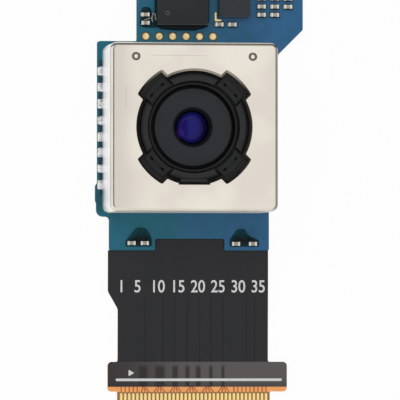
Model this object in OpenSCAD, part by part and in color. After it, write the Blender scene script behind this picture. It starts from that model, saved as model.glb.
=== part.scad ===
// Compact camera module: rigid-flex circuit board, square shield can, and a
// stabilised autofocus lens whose carriages run on balls.
// Millimetres, +Z out of the lens. The origin is where the optical axis meets
// the underside of the back plate, which is what the module is bonded down by.

/* [Shield can] */
// Height of the can above the board
can_h = 5.55; // [5.4:0.05:6.5]
// Sheet thickness of the can
can_wall = 0.15; // [0.1:0.01:0.2]
// Radius of the can's upright corners
can_corner_r = 0.55; // [0.4:0.05:0.8]
// Radius where the can's face turns down into its walls
can_edge_r = 0.35; // [0.2:0.05:0.4]
// Gap between the moving ring and the round opening over it
opening_gap = 0.37; // [0.33:0.01:0.5]
// Depth of the four diagonal notches beyond the round opening
notch_depth = 0.54; // [0.4:0.01:0.6]
// Width of each diagonal notch
notch_w = 2.54; // [2.4:0.02:2.8]
// Distance of the two coined ring marks from the can's sides
mark_inset = 1.9; // [1.4:0.1:2.2]
// Outer diameter of a coined ring mark
mark_d = 0.6; // [0.5:0.05:0.8]
// Depth of a coined ring mark
mark_depth = 0.05; // [0.03:0.01:0.08]

/* [Board] */
// Thickness of the rigid board
board_t = 0.5; // [0.4:0.05:0.8]
// How far the board runs on past the can, at its upper end
board_beyond = 6.05; // [5.8:0.05:9]
// Ledge of the board along the can's left side
left_ledge = 0.33; // [0.3:0.01:0.6]
// Ledge of the board along the can's right side
right_ledge = 0.05; // [0.02:0.01:0.3]
// Left edge of the narrow upper board, from the optical axis
upper_left = 3.59; // [3.55:0.01:4]
// Right edge of the wide upper board, from the optical axis
upper_right = 8.79; // [8.4:0.01:9.5]
// Height of the left shoulder above the can
shoulder_rise = 0.31; // [0.2:0.01:0.34]
// Distance below the can's upper side at which the right edge turns outwards
diagonal_drop = 1.33; // [1.2:0.01:1.5]
// How far the lower edge lies below the can
low_edge_drop = 2.76; // [2.7:0.01:3.4]
// Width of the shallow notch in the lower edge
low_notch_w = 5.16; // [4:0.02:6]
// Depth of the shallow notch in the lower edge
low_notch_d = 0.86; // [0.4:0.02:0.9]
// Thickness of the steel plate under the camera
plate_t = 0.15; // [0.1:0.01:0.2]

/* [Flex tail] */
// Thickness of the polyimide film
film_t = 0.1; // [0.08:0.01:0.12]
// Thickness of each coverlay
cover_t = 0.04; // [0.03:0.01:0.06]
// Thickness of the stiffener under the contacts
stiffener_t = 0.2; // [0.15:0.01:0.25]
// Width of the flex below the board
flex_w = 11.94; // [11.8:0.02:12.2]
// Length of the flex from the board's lower edge to the tail's end
flex_l = 12.64; // [12.3:0.02:14]
// Length of the widened end with its two ears, contacts included
ear_l = 4.4; // [4:0.05:5]
// Number of contacts
contact_count = 37; // [35:1:38]
// Spacing of the contacts
contact_pitch = 0.3; // [0.28:0.01:0.31]
// Width of one contact
contact_w = 0.2; // [0.15:0.01:0.22]
// Length of a contact
contact_l = 2; // [1.8:0.05:2.1]
// Thickness of the gold on a contact
contact_t = 0.02; // [0.02:0.005:0.03]

/* [Board parts] */
// Side of the large chip
large_chip_w = 3.8; // [3.4:0.05:3.9]
// Height of the large chip
large_chip_h = 0.8; // [0.6:0.05:1]
// Width of the small chip
small_chip_w = 2.3; // [2:0.05:2.4]
// Length of the small chip
small_chip_l = 2.6; // [2.2:0.05:2.8]
// Height of the small chip
small_chip_h = 0.6; // [0.4:0.05:0.8]
// Length of a chip capacitor
cap_l = 0.6; // [0.5:0.02:0.64]
// Width and height of a chip capacitor
cap_w = 0.3; // [0.25:0.01:0.34]
// Diameter of a test pad
pad_d = 0.57; // [0.5:0.01:0.65]
// Spacing of the test pads
pad_pitch = 1; // [0.9:0.01:1.05]
// Spacing of the soldered terminals beside the can
joint_pitch = 1.2; // [1.1:0.01:1.25]
// Length of one soldered terminal
joint_l = 0.7; // [0.5:0.01:0.75]
// Height of the epoxy mounds
mound_h = 0.4; // [0.36:0.01:0.5]

/* [Lens] */
// Width of the groove between the barrel's face and its holder
groove_w = 0.26; // [0.22:0.01:0.3]
// Radius of the barrel's threaded band
thread_r = 3.11; // [3.05:0.01:3.4]
// Depth of the barrel's face below the can's face
barrel_recess = 0.85; // [0.75:0.05:0.9]
// Radius of the aperture at the barrel's face
aperture_r = 1.45; // [1.4:0.01:1.5]
// Radius of the aperture at its narrow end
stop_r = 1.25; // [1.2:0.01:1.3]
// Thickness of the barrel's front wall over the first lens
front_wall = 0.75; // [0.7:0.01:0.8]
// Thickness of each lens at its rim
rim_t = 0.3; // [0.28:0.01:0.32]
// Thickness of each spacer between two lenses
spacer_t = 0.12; // [0.11:0.005:0.13]
// Thickness of the ring that holds the lenses in
retainer_t = 0.2; // [0.15:0.01:0.25]

/* [Actuator] */
// Travel of the focus carrier
focus_travel = 0.3; // [0.2:0.05:0.35]
// Travel of each stabiliser carriage to either side
shift_travel = 0.1; // [0.05:0.01:0.11]
// Side clearance around each sliding carriage
slide_gap = 0.15; // [0.14:0.01:0.17]
// Wall thickness of the moulded housing
housing_wall = 0.55; // [0.5:0.01:0.58]
// Wall thickness of the focus carrier
carrier_wall = 0.4; // [0.36:0.01:0.44]
// Diameter of the guide balls
ball_d = 0.6; // [0.54:0.02:0.62]
// Clearance of a ball in its race
race_gap = 0.02; // [0.01:0.005:0.03]
// Width of the guide frame's rails round the lens
rail_w = 1.15; // [1.12:0.01:1.4]
// Width of the lens holder's rim round the barrel
rim_w = 0.2; // [0.15:0.01:0.25]
// Width of the lens holder's four arc walls
arc_w = 0.43; // [0.35:0.01:0.45]
// Half width of a stopper lug
lug_half_w = 1; // [0.9:0.01:1.05]
// Gap round a stopper lug, to the arc walls and to the rim
lug_gap = 0.16; // [0.15:0.01:0.18]
// Thickness of the coils
coil_t = 0.4; // [0.35:0.01:0.42]
// Thickness of the magnets
magnet_t = 0.45; // [0.38:0.01:0.48]

/* [Sensor] */
// Height of the sensor base
base_h = 0.8; // [0.75:0.01:0.9]
// Width of the image sensor
sensor_w = 6.6; // [6:0.05:6.8]
// Length of the image sensor
sensor_l = 5.6; // [5:0.05:5.8]
// Thickness of the image sensor
sensor_t = 0.2; // [0.15:0.01:0.25]
// Thickness of the infrared filter
filter_t = 0.21; // [0.18:0.01:0.25]

/* [Hidden] */
$fn = 64;
ARC_STEPS = 6;      // straight steps in one rounded corner of a plate
BEND_STEPS = 16;    // straight steps along the flex's sag
EPS = 0.01;
BIG = 60;           // a cutter that passes right through anything here

// Levels, from the underside up
board_top = plate_t + board_t;
can_top = board_top + can_h;
ceiling = can_top - can_wall;
base_top = board_top + base_h;
housing_floor = 0.35;
rest_gap = 0.1;
carrier_floor = 0.42;
plate_gap = 0.16;
guide_frame_t = 0.5;
holder_plate_t = 0.45;
stopper_t = 0.25;
stop_gap = 0.15;
carrier_z = base_top + housing_floor + rest_gap;
carrier_floor_top = carrier_z + carrier_floor;
frame_z = carrier_floor_top + plate_gap;
frame_top = frame_z + guide_frame_t;
holder_z = frame_top + plate_gap;
stopper_top = ceiling - focus_travel - 0.05;
stopper_z = stopper_top - stopper_t;
flange_top = stopper_z - stop_gap;
arc_recess = 0.3;
arc_root = 0.2;
arc_top = can_top - arc_recess;
rim_recess = 0.7;
rim_top = can_top - rim_recess;
lug_recess = 0.42;
lug_top = can_top - lug_recess;
groove_d = 0.45;
barrel_top = can_top - barrel_recess;
thread_top = barrel_top - groove_d;
funnel_h = 0.45;
lens_z = barrel_top - front_wall;
lens_pitch = rim_t + spacer_t;

// Radii round the lens, from the barrel outwards
barrel_r = thread_r - groove_w;
barrel_wall = 0.35;
rim_r = thread_r + rim_w;
arc_in_r = rim_r + lug_gap;
arc_r = arc_in_r + arc_w;
opening_r = arc_r + opening_gap;
notch_r = opening_r + notch_depth;
window_gap = 0.6;
window_r = barrel_r + window_gap;

// Half widths, from the lens outwards to the can
yoke_t = 0.1;
fpc_t = 0.1;
post_w = 1.2;
frame_half = window_r + rail_w;
carrier_in = frame_half + slide_gap;
carrier_out = carrier_in + carrier_wall;
post_in = carrier_out - post_w;
holder_half = frame_half - magnet_t + 0.1;
holder_corner_r = post_in * sqrt(2) - 0.5;
housing_in = carrier_out + slide_gap;
housing_out = housing_in + housing_wall;
fpc_out = housing_out + fpc_t;
can_in = fpc_out + yoke_t;
can_half = can_in + can_wall;
corner_r = 0.4;
base_half = housing_out - 0.1;

// The holder's tab, and the flat cut in the can that clears it
tab_reach = 0.17;
tab_gap = 0.05;
tab_r = arc_r + tab_reach;
tab_cut_r = tab_r + shift_travel + tab_gap;
tab_cut_half_w = lug_half_w + 0.15;

// Balls
ball_r = ball_d / 2;
race_r = ball_r + race_gap;
race_l = ball_d + shift_travel + 0.1;
ball_in = frame_half - race_l / 2 - 0.12;
ball_off = post_in - slide_gap - 0.9;
focus_ball_x = carrier_out - post_w / 2;
focus_ball_y = (housing_in + carrier_out) / 2;
focus_ball_pitch = 0.95;
focus_ball_z = [for (i = [0:2]) frame_z + ball_r - 0.1 + i * focus_ball_pitch];

// Coils and magnets, all centred on one level
drive_z = (holder_z + flange_top) / 2;
coil_half_l = 2.6;
coil_half_h = 0.9;
coil_bar = 0.6;
magnet_half_l = 2.4;
magnet_half_h = 0.75;
focus_pocket_d = 0.3;
focus_magnet_proud = 0.05;
shift_pocket_d = 0.35;
hall_w = 1;
hall_h = 0.4;
hall_t = 0.3;

// Lens elements from the front: how much smaller each rim is than the last
// one, and how far each surface stands out towards the front at the middle
lens_step = [0.85, 0.8, 0.65, 0.4, 0.15, 0];
lens_r = [for (step = lens_step) barrel_r - barrel_wall - step];
front_sag = [0.35, 0.15, 0.2, 0, -0.15, 0];
back_sag = [0.1, 0.25, -0.05, -0.2, -0.05, 0.1];
LENSES = len(lens_r);
barrel_bottom = lens_z - LENSES * rim_t - (LENSES - 1) * spacer_t - retainer_t;

// Board edges
board_left = can_half + left_ledge;
board_right = can_half + right_ledge;
board_end_y = can_half + board_beyond;
board_low_y = can_half + low_edge_drop;
shoulder_y = can_half + shoulder_rise;
diagonal_y = can_half - diagonal_drop;
diagonal_top_y = diagonal_y + upper_right - board_right;
bulge_x = board_left + 0.15;
bulge_slope = 0.2;
bulge_top_y = -can_half + 2.0;
bulge_low_y = -can_half + 0.9;
foot_x = board_left + 0.07;
foot_y = -can_half - 0.28;
notch_x = 0.34;

// Flex: its neck leaves the board at mid thickness and sags to the tail
flex_cx = 0.24;
flat_l = 0.6;
neck_l = 2.44;
ear_out = 1.42;
film_l = 0.46;
flex_left = flex_cx - flex_w / 2;
flex_right = flex_cx + flex_w / 2;
tongue_l = 1;
tongue_y = -board_low_y + low_notch_d + tongue_l;
tail_end_y = board_low_y + flex_l;
lower_left = -flex_left - 0.09;
exit_z = plate_t + board_t / 2 - film_t / 2;
tail_z = stiffener_t;
sag_start_y = -board_low_y - flat_l;
neck_step_y = sag_start_y - neck_l;
ear_y = -tail_end_y + ear_l;
sag_end_y = ear_y + 0.4;
ear_left = flex_left;
ear_right = flex_right + ear_out;
contacts_top_y = -tail_end_y + contact_l + 0.1;
coverlay_end_y = contacts_top_y + film_l;
ear_end_y = contacts_top_y + 0.1;
neck_left = flex_left + 0.74;
contacts_cx = 0.67;
tail_half_w = contact_count * contact_pitch / 2 + 0.13;

// Places of the parts on the board
large_chip_x = -upper_left + 1.44 + large_chip_w / 2;
large_chip_y = can_half + 1.5;
chip_gap = 0.81;
small_chip_x = large_chip_x + large_chip_w / 2 + chip_gap;
small_chip_y = can_half + 2.11;
pads_x = -upper_left + 0.65;
pads_y = can_half + 0.67;
joints_y = 4.25;
joint_count = 8;
joint_h = 0.42;
joint_pass_h = 0.15;
cut_up = joint_pass_h + 0.05;
mounds_y = -board_low_y + 1;
mound_left_x = [-lower_left + 1.19, -lower_left + 3.14];
mound_right_x = [board_right - 2.93, board_right - 0.75];

// ---- Shared shapes ----

// Points along the arc that rounds corner p, between its neighbours a and b.
function unit(v) = v / norm(v);
function corner_arc(a, p, b) =
    p[2] <= 0 ? [[p[0], p[1]]] :
    let (
        at = [p[0], p[1]],
        u = unit([a[0], a[1]] - at),
        v = unit([b[0], b[1]] - at),
        half = acos(u * v) / 2,
        reach = p[2] / tan(half),
        centre = at + unit(u + v) * p[2] / sin(half),
        from = at + u * reach - centre,
        to = at + v * reach - centre,
        start = atan2(from[1], from[0]),
        turn = atan2(to[1], to[0]) - start,
        sweep = turn > 180 ? turn - 360 : turn < -180 ? turn + 360 : turn
    )
    [for (k = [0:ARC_STEPS]) centre + p[2] * [cos(start + sweep * k / ARC_STEPS),
                                              sin(start + sweep * k / ARC_STEPS)]];

// An outline whose corners are given as [x, y, radius].
function rounded(points) =
    let (n = len(points))
    [for (i = [0:n - 1])
        each corner_arc(points[(i + n - 1) % n], points[i], points[(i + 1) % n])];

module plate(points, thickness) {
    linear_extrude(height = thickness) polygon(rounded(points));
}

function box_points(hx, hy, r) = [[-hx, -hy, r], [hx, -hy, r], [hx, hy, r], [-hx, hy, r]];

module rounded_block(hx, hy, r, height) {
    plate(box_points(hx, hy, r), height);
}

module block(x, y, z) {
    translate([x[0], y[0], z[0]]) cube([x[1] - x[0], y[1] - y[0], z[1] - z[0]]);
}

module disc(r, z) {
    translate([0, 0, z[0]]) cylinder(r = r, h = z[1] - z[0]);
}

module ring(outer, inner, z) {
    difference() {
        disc(outer, z);
        disc(inner, [z[0] - EPS, z[1] + EPS]);
    }
}

// ---- Board and tail ----

module board_outline() {
    polygon(rounded([
        [-upper_left, board_end_y, 0.3],
        [-upper_left, shoulder_y, 0.12],
        [-board_left, shoulder_y, 0.2],
        [-board_left, bulge_top_y + bulge_slope, 0.12],
        [-bulge_x, bulge_top_y, 0.12],
        [-bulge_x, bulge_low_y, 0.12],
        [-foot_x, bulge_low_y - bulge_slope, 0.12],
        [-foot_x, foot_y, 0.5],
        [-lower_left, foot_y, 0.28],
        [-lower_left, -board_low_y, 0.12],
        [notch_x - low_notch_w / 2, -board_low_y, 0.08],
        [notch_x - low_notch_w / 2, -board_low_y + low_notch_d, 0.15],
        [notch_x + low_notch_w / 2, -board_low_y + low_notch_d, 0.15],
        [notch_x + low_notch_w / 2, -board_low_y, 0.08],
        [board_right, -board_low_y, 0.12],
        [board_right, diagonal_y, 0],
        [upper_right, diagonal_top_y, 0.2],
        [upper_right, board_end_y, 0.3]
    ]));
}

module back_plate() {
    color("silver")
        rounded_block(can_half - 0.1, can_half - 0.1, 0.6, plate_t);
}

module rigid_board() {
    color([0.17, 0.37, 0.46])
    difference() {
        translate([0, 0, plate_t]) linear_extrude(height = board_t) board_outline();
        flex_tongue_space();
    }
}

// The slot in the lower edge where the flex is laminated into the board.
module flex_tongue_space() {
    block([flex_left, flex_right], [-BIG, tongue_y],
          [exit_z - cover_t, exit_z + film_t + cover_t]);
}

// Height of the film's underside, easing from the board's exit to the tail.
function ease(t) = t * t * (3 - 2 * t);
function film_z(y) =
    y >= sag_start_y ? exit_z :
    y <= sag_end_y ? tail_z :
    tail_z + (exit_z - tail_z) * ease((y - sag_end_y) / (sag_start_y - sag_end_y));

function bend_ys() = [for (k = [0:BEND_STEPS])
    sag_start_y + (sag_end_y - sag_start_y) * k / BEND_STEPS];

// A layer of the flex, from y_top down to y_end, between two heights over the
// film's underside, as wide as anything here.
module flex_layer(y_top, y_end, low, high) {
    ys = [y_top, each bend_ys(), y_end];
    lower = [for (y = ys) [y, film_z(y) + low]];
    upper = [for (i = [len(ys) - 1:-1:0]) [ys[i], film_z(ys[i]) + high]];
    translate([BIG / 2, 0, 0]) rotate([90, 0, -90]) mirror([1, 0, 0])
        linear_extrude(height = BIG) polygon([each lower, each upper]);
}

// Plan of the flex: the neck, its step, the two ears and the contact tongue.
module flex_outline() {
    polygon(rounded([
        [flex_left, tongue_y, 0],
        [flex_left, neck_step_y, 0.6],
        [neck_left, neck_step_y - 1.3, 0.6],
        [neck_left, ear_y, 0.1],
        [ear_left, ear_y, 0.3],
        [ear_left, ear_end_y, 0.3],
        [contacts_cx - tail_half_w, ear_end_y, 0.1],
        [contacts_cx - tail_half_w, -tail_end_y, 0.15],
        [contacts_cx + tail_half_w, -tail_end_y, 0.15],
        [contacts_cx + tail_half_w, ear_end_y, 0.1],
        [ear_right, ear_end_y, 0.3],
        [ear_right, ear_y, 0.3],
        [flex_right, ear_y, 0.1],
        [flex_right, tongue_y, 0]
    ]));
}

module flex_sheet(y_top, y_end, low, high) {
    intersection() {
        flex_layer(y_top, y_end, low, high);
        translate([0, 0, -1]) linear_extrude(height = 4) flex_outline();
    }
}

module flex_base_film() {
    color([0.85, 0.57, 0.34]) flex_sheet(tongue_y, -tail_end_y, 0, film_t);
}

module flex_top_coverlay() {
    color([0.19, 0.2, 0.2])
        flex_sheet(tongue_y, coverlay_end_y, film_t, film_t + cover_t);
}

module flex_bottom_coverlay() {
    color([0.19, 0.2, 0.2]) flex_sheet(tongue_y, sag_end_y, -cover_t, 0);
}

module tail_stiffener() {
    color([0.75, 0.5, 0.3])
    intersection() {
        linear_extrude(height = stiffener_t) flex_outline();
        block([-BIG, BIG], [-tail_end_y, sag_end_y - EPS], [-1, stiffener_t]);
    }
}

module tail_contacts() {
    color("gold")
    for (i = [0:contact_count - 1]) {
        x = contacts_cx + (i - (contact_count - 1) / 2) * contact_pitch;
        block([x - contact_w / 2, x + contact_w / 2],
              [contacts_top_y - contact_l, contacts_top_y],
              [tail_z + film_t, tail_z + film_t + contact_t]);
    }
}

// ---- Parts on the board ----

module large_chip_box(grow) {
    block([large_chip_x - large_chip_w / 2 - grow, large_chip_x + large_chip_w / 2 + grow],
          [large_chip_y - grow, large_chip_y + large_chip_w + grow],
          [board_top, board_top + large_chip_h]);
}

module large_chip() {
    color([0.18, 0.18, 0.19]) large_chip_box(0);
}

// Black underfill that creeps out around the large chip's foot.
module large_chip_underfill() {
    left = large_chip_x - large_chip_w / 2;
    right = large_chip_x + large_chip_w / 2;
    color([0.07, 0.08, 0.09])
    difference() {
        translate([0, 0, board_top]) plate([
            [left - 0.15, large_chip_y + large_chip_w + 0.2, 0.1],
            [left - 0.15, large_chip_y - 0.15, 0.15],
            [left + 0.4, large_chip_y - 0.4, 0.3],
            [right - 0.4, large_chip_y - 0.4, 0.3],
            [right + 0.15, large_chip_y - 0.1, 0.15],
            [right + 0.15, large_chip_y + large_chip_w + 0.2, 0.1]
        ], 0.2);
        large_chip_box(0);
    }
}

module small_chip() {
    color([0.22, 0.22, 0.23])
        block([small_chip_x, small_chip_x + small_chip_w],
              [small_chip_y, small_chip_y + small_chip_l],
              [board_top, board_top + small_chip_h]);
}

// One chip capacitor lying along X, or along Y when turned.
module capacitor(at, turn = 0) {
    translate([at[0], at[1], board_top]) rotate([0, 0, turn])
        translate([-cap_l / 2, -cap_w / 2, 0]) cube([cap_l, cap_w, cap_w]);
}

module capacitors(places) {
    color("gainsboro") for (at = places) capacitor(at);
}

cap_column = 0.99;
cap_row = 0.61;
right_grid = [small_chip_x + small_chip_w + 0.92, can_half + 2.31];
right_caps = [for (row = [0:2]) for (col = [0:(row == 0 ? 1 : 2)])
    [right_grid[0] + col * cap_column, right_grid[1] + row * cap_row]];
centre_caps = [for (i = [0:1]) [small_chip_x + 0.06 + i * 0.98, can_half + 1.57]];
left_caps = [for (i = [0:1]) [-upper_left + 0.61, can_half + 1.66 + i * cap_row]];
left_mound_caps = [for (i = [0:1]) [mound_left_x[0] + 0.43 + i * 0.98, mounds_y - 0.47]];
right_mound_caps = [for (i = [0:1]) [mound_right_x[0] + 0.44 + i * 1.26, mounds_y - 0.51]];

module capacitors_right() { capacitors(right_caps); }
module capacitors_centre() { capacitors(centre_caps); }
module capacitors_left() { capacitors(left_caps); }
module capacitors_in_left_mound() { capacitors(left_mound_caps); }
module capacitors_in_right_mound() { capacitors(right_mound_caps); }

// Black epoxy dropped over a pair of capacitors, which stand in it.
module epoxy(x, y, height, caps) {
    color([0.05, 0.05, 0.06])
    difference() {
        translate([(x[0] + x[1]) / 2, (y[0] + y[1]) / 2, board_top])
            rounded_block((x[1] - x[0]) / 2, (y[1] - y[0]) / 2, 0.28, height);
        for (at = caps) capacitor(at);
    }
}

module epoxy_left() {
    left = -upper_left + 0.24;
    epoxy([left, left + 0.75], [can_half + 1.45, can_half + 2.85], cap_w * 0.6, left_caps);
}

module epoxy_mound_left() {
    epoxy(mound_left_x, [mounds_y - 0.72, mounds_y + 0.72], mound_h, left_mound_caps);
}

module epoxy_mound_right() {
    epoxy(mound_right_x, [mounds_y - 0.72, mounds_y + 0.6], mound_h, right_mound_caps);
}

module test_pads() {
    color([0.8, 0.71, 0.5])
    for (i = [0:5])
        translate([pads_x + i * pad_pitch, pads_y, board_top])
            cylinder(d = pad_d, h = 0.03, $fn = 32);
}

// The gold corner mark beside the small chip.
module orientation_mark() {
    corner = [small_chip_x - 0.27, small_chip_y - 0.14];
    color([0.8, 0.71, 0.5])
    union() {
        block([corner[0], corner[0] + 0.16], [corner[1], corner[1] + 0.51],
              [board_top, board_top + 0.03]);
        block([corner[0], corner[0] + 0.5], [corner[1] - 0.16, corner[1]],
              [board_top, board_top + 0.03]);
    }
}

// Solder fillets that join the actuator's terminals to the board's left edge.
module solder_joints() {
    inner = -fpc_out;
    outer = -board_left;
    color("silver")
    for (i = [0:joint_count - 1])
        translate([0, joints_y - i * joint_pitch + joint_l / 2, 0]) rotate([90, 0, 0])
            linear_extrude(height = joint_l) polygon([
                [inner, board_top],
                [inner, board_top + joint_h],
                [-can_in, board_top + joint_pass_h],
                [-can_half, board_top + joint_pass_h],
                [outer + 0.08, board_top + joint_pass_h * 0.6],
                [outer, board_top]
            ]);
}

// ---- Sensor ----

module sensor_base() {
    sensor_x = sensor_w / 2;
    sensor_y = sensor_l / 2;
    color([0.1, 0.1, 0.11])
    difference() {
        translate([0, 0, board_top]) rounded_block(base_half, base_half, corner_r, base_h);
        block([-sensor_x - 0.7, sensor_x + 0.7], [-sensor_y - 0.7, sensor_y + 0.7],
              [board_top - 1, base_top - filter_t - 0.2]);
        block([-sensor_x + 0.35, sensor_x - 0.35], [-sensor_y + 0.35, sensor_y - 0.35],
              [board_top - 1, base_top + 1]);
        block([-sensor_x - 0.05, sensor_x + 0.05], [-sensor_y - 0.05, sensor_y + 0.05],
              [base_top - filter_t, base_top + 1]);
    }
}

module image_sensor() {
    color([0.25, 0.3, 0.28])
        block([-sensor_w / 2, sensor_w / 2], [-sensor_l / 2, sensor_l / 2],
              [board_top, board_top + sensor_t]);
}

module ir_filter() {
    color([0.6, 0.75, 0.85, 0.6])
        block([-sensor_w / 2, sensor_w / 2], [-sensor_l / 2, sensor_l / 2],
              [base_top - filter_t, base_top]);
}

// ---- Actuator, fixed side ----

// Places a thing that faces inwards from the +Y wall on another wall.
module on_wall(side) {
    rotate([0, 0, side == "x" ? 90 : side == "y" ? 180 : 0]) children();
}

// A racetrack block standing against the +Y wall, between two distances out.
module wall_pad(half_l, half_h, r, y) {
    translate([0, y[1], drive_z]) rotate([90, 0, 0])
        rounded_block(half_l, half_h, r, y[1] - y[0]);
}

module coil_window() {
    wall_pad(coil_half_l + 0.05, coil_half_h + 0.05, 0.65, [housing_in - 1, housing_out + 1]);
}

// Ball races cut round the balls' own centres, so that both sides match.
module focus_races() {
    for (s = [-1, 1])
        translate([s * focus_ball_x, focus_ball_y, focus_ball_z[0] - ball_r - focus_travel - 0.05])
            cylinder(r = race_r, h = focus_ball_z[2] - focus_ball_z[0] + ball_d
                                     + 2 * focus_travel + 0.1);
}

module actuator_housing() {
    color([0.12, 0.12, 0.13])
    difference() {
        translate([0, 0, base_top])
            rounded_block(housing_out, housing_out, corner_r, ceiling - base_top);
        block([-housing_in, housing_in], [-housing_in, housing_in],
              [base_top + housing_floor, can_top]);
        disc(window_r + 0.25, [base_top - 1, can_top]);
        for (side = ["focus", "x", "y"]) on_wall(side) coil_window();
        focus_races();
    }
}

// The flexible circuit that carries the coils round three sides of the housing.
module actuator_fpc() {
    tail = [-joints_y - 0.4, joints_y + 0.4];
    color([0.8, 0.55, 0.3])
    union() {
        difference() {
            translate([0, 0, base_top + 0.15])
                rounded_block(fpc_out, fpc_out, corner_r + fpc_t, flange_top - base_top);
            translate([0, 0, base_top])
                rounded_block(housing_out, housing_out, corner_r, can_top);
            block([housing_out - 0.6, BIG], [-BIG, BIG], [0, can_top]);
        }
        block([-fpc_out, -housing_out], tail, [board_top, base_top + 0.3]);
    }
}

module coil(side) {
    color([0.72, 0.4, 0.2])
    on_wall(side) difference() {
        wall_pad(coil_half_l, coil_half_h, 0.6, [housing_out - coil_t, housing_out]);
        wall_pad(coil_half_l - coil_bar, coil_half_h - coil_bar, 0.1, [housing_out - 1, housing_out + 1]);
    }
}

module focus_coil() { coil("focus"); }
module shift_coil_x() { coil("x"); }
module shift_coil_y() { coil("y"); }

module hall_sensor(side) {
    color([0.15, 0.15, 0.16])
    on_wall(side) translate([-hall_w / 2, housing_out - hall_t, drive_z - hall_h / 2])
        cube([hall_w, hall_t, hall_h]);
}

module focus_hall_sensor() { hall_sensor("focus"); }
module shift_hall_sensor_x() { hall_sensor("x"); }
module shift_hall_sensor_y() { hall_sensor("y"); }

module yoke(side) {
    color("silver")
    on_wall(side) wall_pad(coil_half_l + 0.4, coil_half_h + 0.2, 0.2, [fpc_out, can_in]);
}

module focus_yoke() { yoke("focus"); }
module shift_yoke_x() { yoke("x"); }
module shift_yoke_y() { yoke("y"); }

// ---- Actuator, focus carrier ----

// The four balls of a stabiliser stage; the races run along X when along_x.
module ball_places(along_x) {
    for (sx = [-1, 1]) for (sy = [-1, 1])
        translate([sx * (along_x ? ball_in : ball_off), sy * (along_x ? ball_off : ball_in), 0])
            children();
}

module stage_races(along_x, z) {
    ball_places(along_x) translate([0, 0, z])
        rotate(along_x ? [0, 90, 0] : [90, 0, 0])
            cylinder(r = race_r, h = race_l, center = true);
}

x_ball_z = carrier_floor_top + plate_gap / 2;
y_ball_z = frame_top + plate_gap / 2;

module focus_carrier() {
    color([0.16, 0.16, 0.17])
    difference() {
        union() {
            translate([0, 0, carrier_z])
                rounded_block(carrier_out, carrier_out, 0.3, carrier_floor_top - carrier_z);
            for (sx = [-1, 1]) for (sy = [-1, 1])
                translate([sx * (post_in + carrier_out) / 2, sy * (post_in + carrier_out) / 2,
                           carrier_z])
                    rounded_block((carrier_out - post_in) / 2, (carrier_out - post_in) / 2, 0.2,
                                  stopper_z - carrier_z);
            block([-post_in - 0.3, post_in + 0.3], [carrier_in, carrier_out],
                  [carrier_z, flange_top]);
            block([carrier_in, carrier_out], [-post_in - 0.3, post_in + 0.3],
                  [carrier_z, flange_top]);
        }
        disc(window_r + 0.1, [carrier_z - 1, can_top]);
        stage_races(true, x_ball_z);
        focus_races();
        focus_magnet_space();
    }
}

module focus_magnet_space() {
    wall_pad(magnet_half_l, magnet_half_h, 0, [carrier_out - focus_pocket_d, carrier_out + 1]);
}

module focus_magnet() {
    color([0.55, 0.55, 0.57])
        wall_pad(magnet_half_l, magnet_half_h, 0, [carrier_out - focus_pocket_d, carrier_out + focus_magnet_proud]);
}

module focus_balls() {
    color("gainsboro")
    for (s = [-1, 1]) for (z = focus_ball_z)
        translate([s * focus_ball_x, focus_ball_y, z]) sphere(r = ball_r, $fn = 32);
}

// The plate that keeps the lens holder down. Its four lugs stand up between the
// holder's arc walls and show in the can's notches.
module stopper_ring() {
    clear_r = arc_r + shift_travel * 1.5 + 0.05;
    heel_r = clear_r + 0.3;
    head_r = notch_r - 0.34;
    color([0.13, 0.13, 0.14])
    union() {
        difference() {
            translate([0, 0, stopper_z])
                rounded_block(carrier_out, carrier_out, 0.3, stopper_top - stopper_z);
            disc(clear_r, [stopper_z - 1, can_top]);
            block([-tab_cut_half_w, tab_cut_half_w], [-tab_r - lug_gap, 0],
                  [stopper_z - 1, can_top]);
        }
        intersection() {
            for (a = [45:90:315]) rotate([0, 0, a])
                block([arc_in_r - 1, heel_r], [-lug_half_w, lug_half_w], [stopper_z, lug_top]);
            union() {
                ring(heel_r, arc_in_r, [stopper_z, stopper_top]);
                ring(head_r, arc_in_r, [stopper_z, lug_top]);
            }
        }
    }
}

// ---- Actuator, stabiliser ----

// Square plate with its corners cut back from the carrier's posts.
module carriage(half, corner, z) {
    translate([0, 0, z[0]]) plate([
        [-corner, -half, 0.15], [corner, -half, 0.15], [corner, -corner, 0.1],
        [half, -corner, 0.15], [half, corner, 0.15], [corner, corner, 0.1],
        [corner, half, 0.15], [-corner, half, 0.15], [-corner, corner, 0.1],
        [-half, corner, 0.15], [-half, -corner, 0.15], [-corner, -corner, 0.1]
    ], z[1] - z[0]);
}

module guide_frame() {
    color([0.2, 0.2, 0.21])
    difference() {
        carriage(frame_half, post_in - slide_gap, [frame_z, frame_top]);
        disc(window_r, [frame_z - 1, can_top]);
        stage_races(true, x_ball_z);
        stage_races(false, y_ball_z);
    }
}

module stage_balls(along_x, z) {
    color("gainsboro")
        ball_places(along_x) translate([0, 0, z]) sphere(r = ball_r, $fn = 32);
}

module x_balls() { stage_balls(true, x_ball_z); }
module y_balls() { stage_balls(false, y_ball_z); }

// The holder: a threaded bore for the barrel, pockets for two magnets, and four
// arc walls that show in the can's opening. The lowest wall has a flat tab.
module lens_holder() {
    color([0.14, 0.14, 0.15])
    difference() {
        union() {
            carriage(frame_half, post_in - slide_gap, [holder_z, holder_z + holder_plate_t]);
            intersection() {
                carriage(holder_half, post_in - slide_gap, [holder_z, flange_top]);
                disc(holder_corner_r, [holder_z, flange_top]);
            }
            disc(rim_r, [holder_z, rim_top]);
            arc_walls();
        }
        disc(thread_r, [holder_z - 1, can_top]);
        stage_races(false, y_ball_z);
        for (side = ["x", "y"]) on_wall(side) shift_magnet_space();
    }
}

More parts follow.
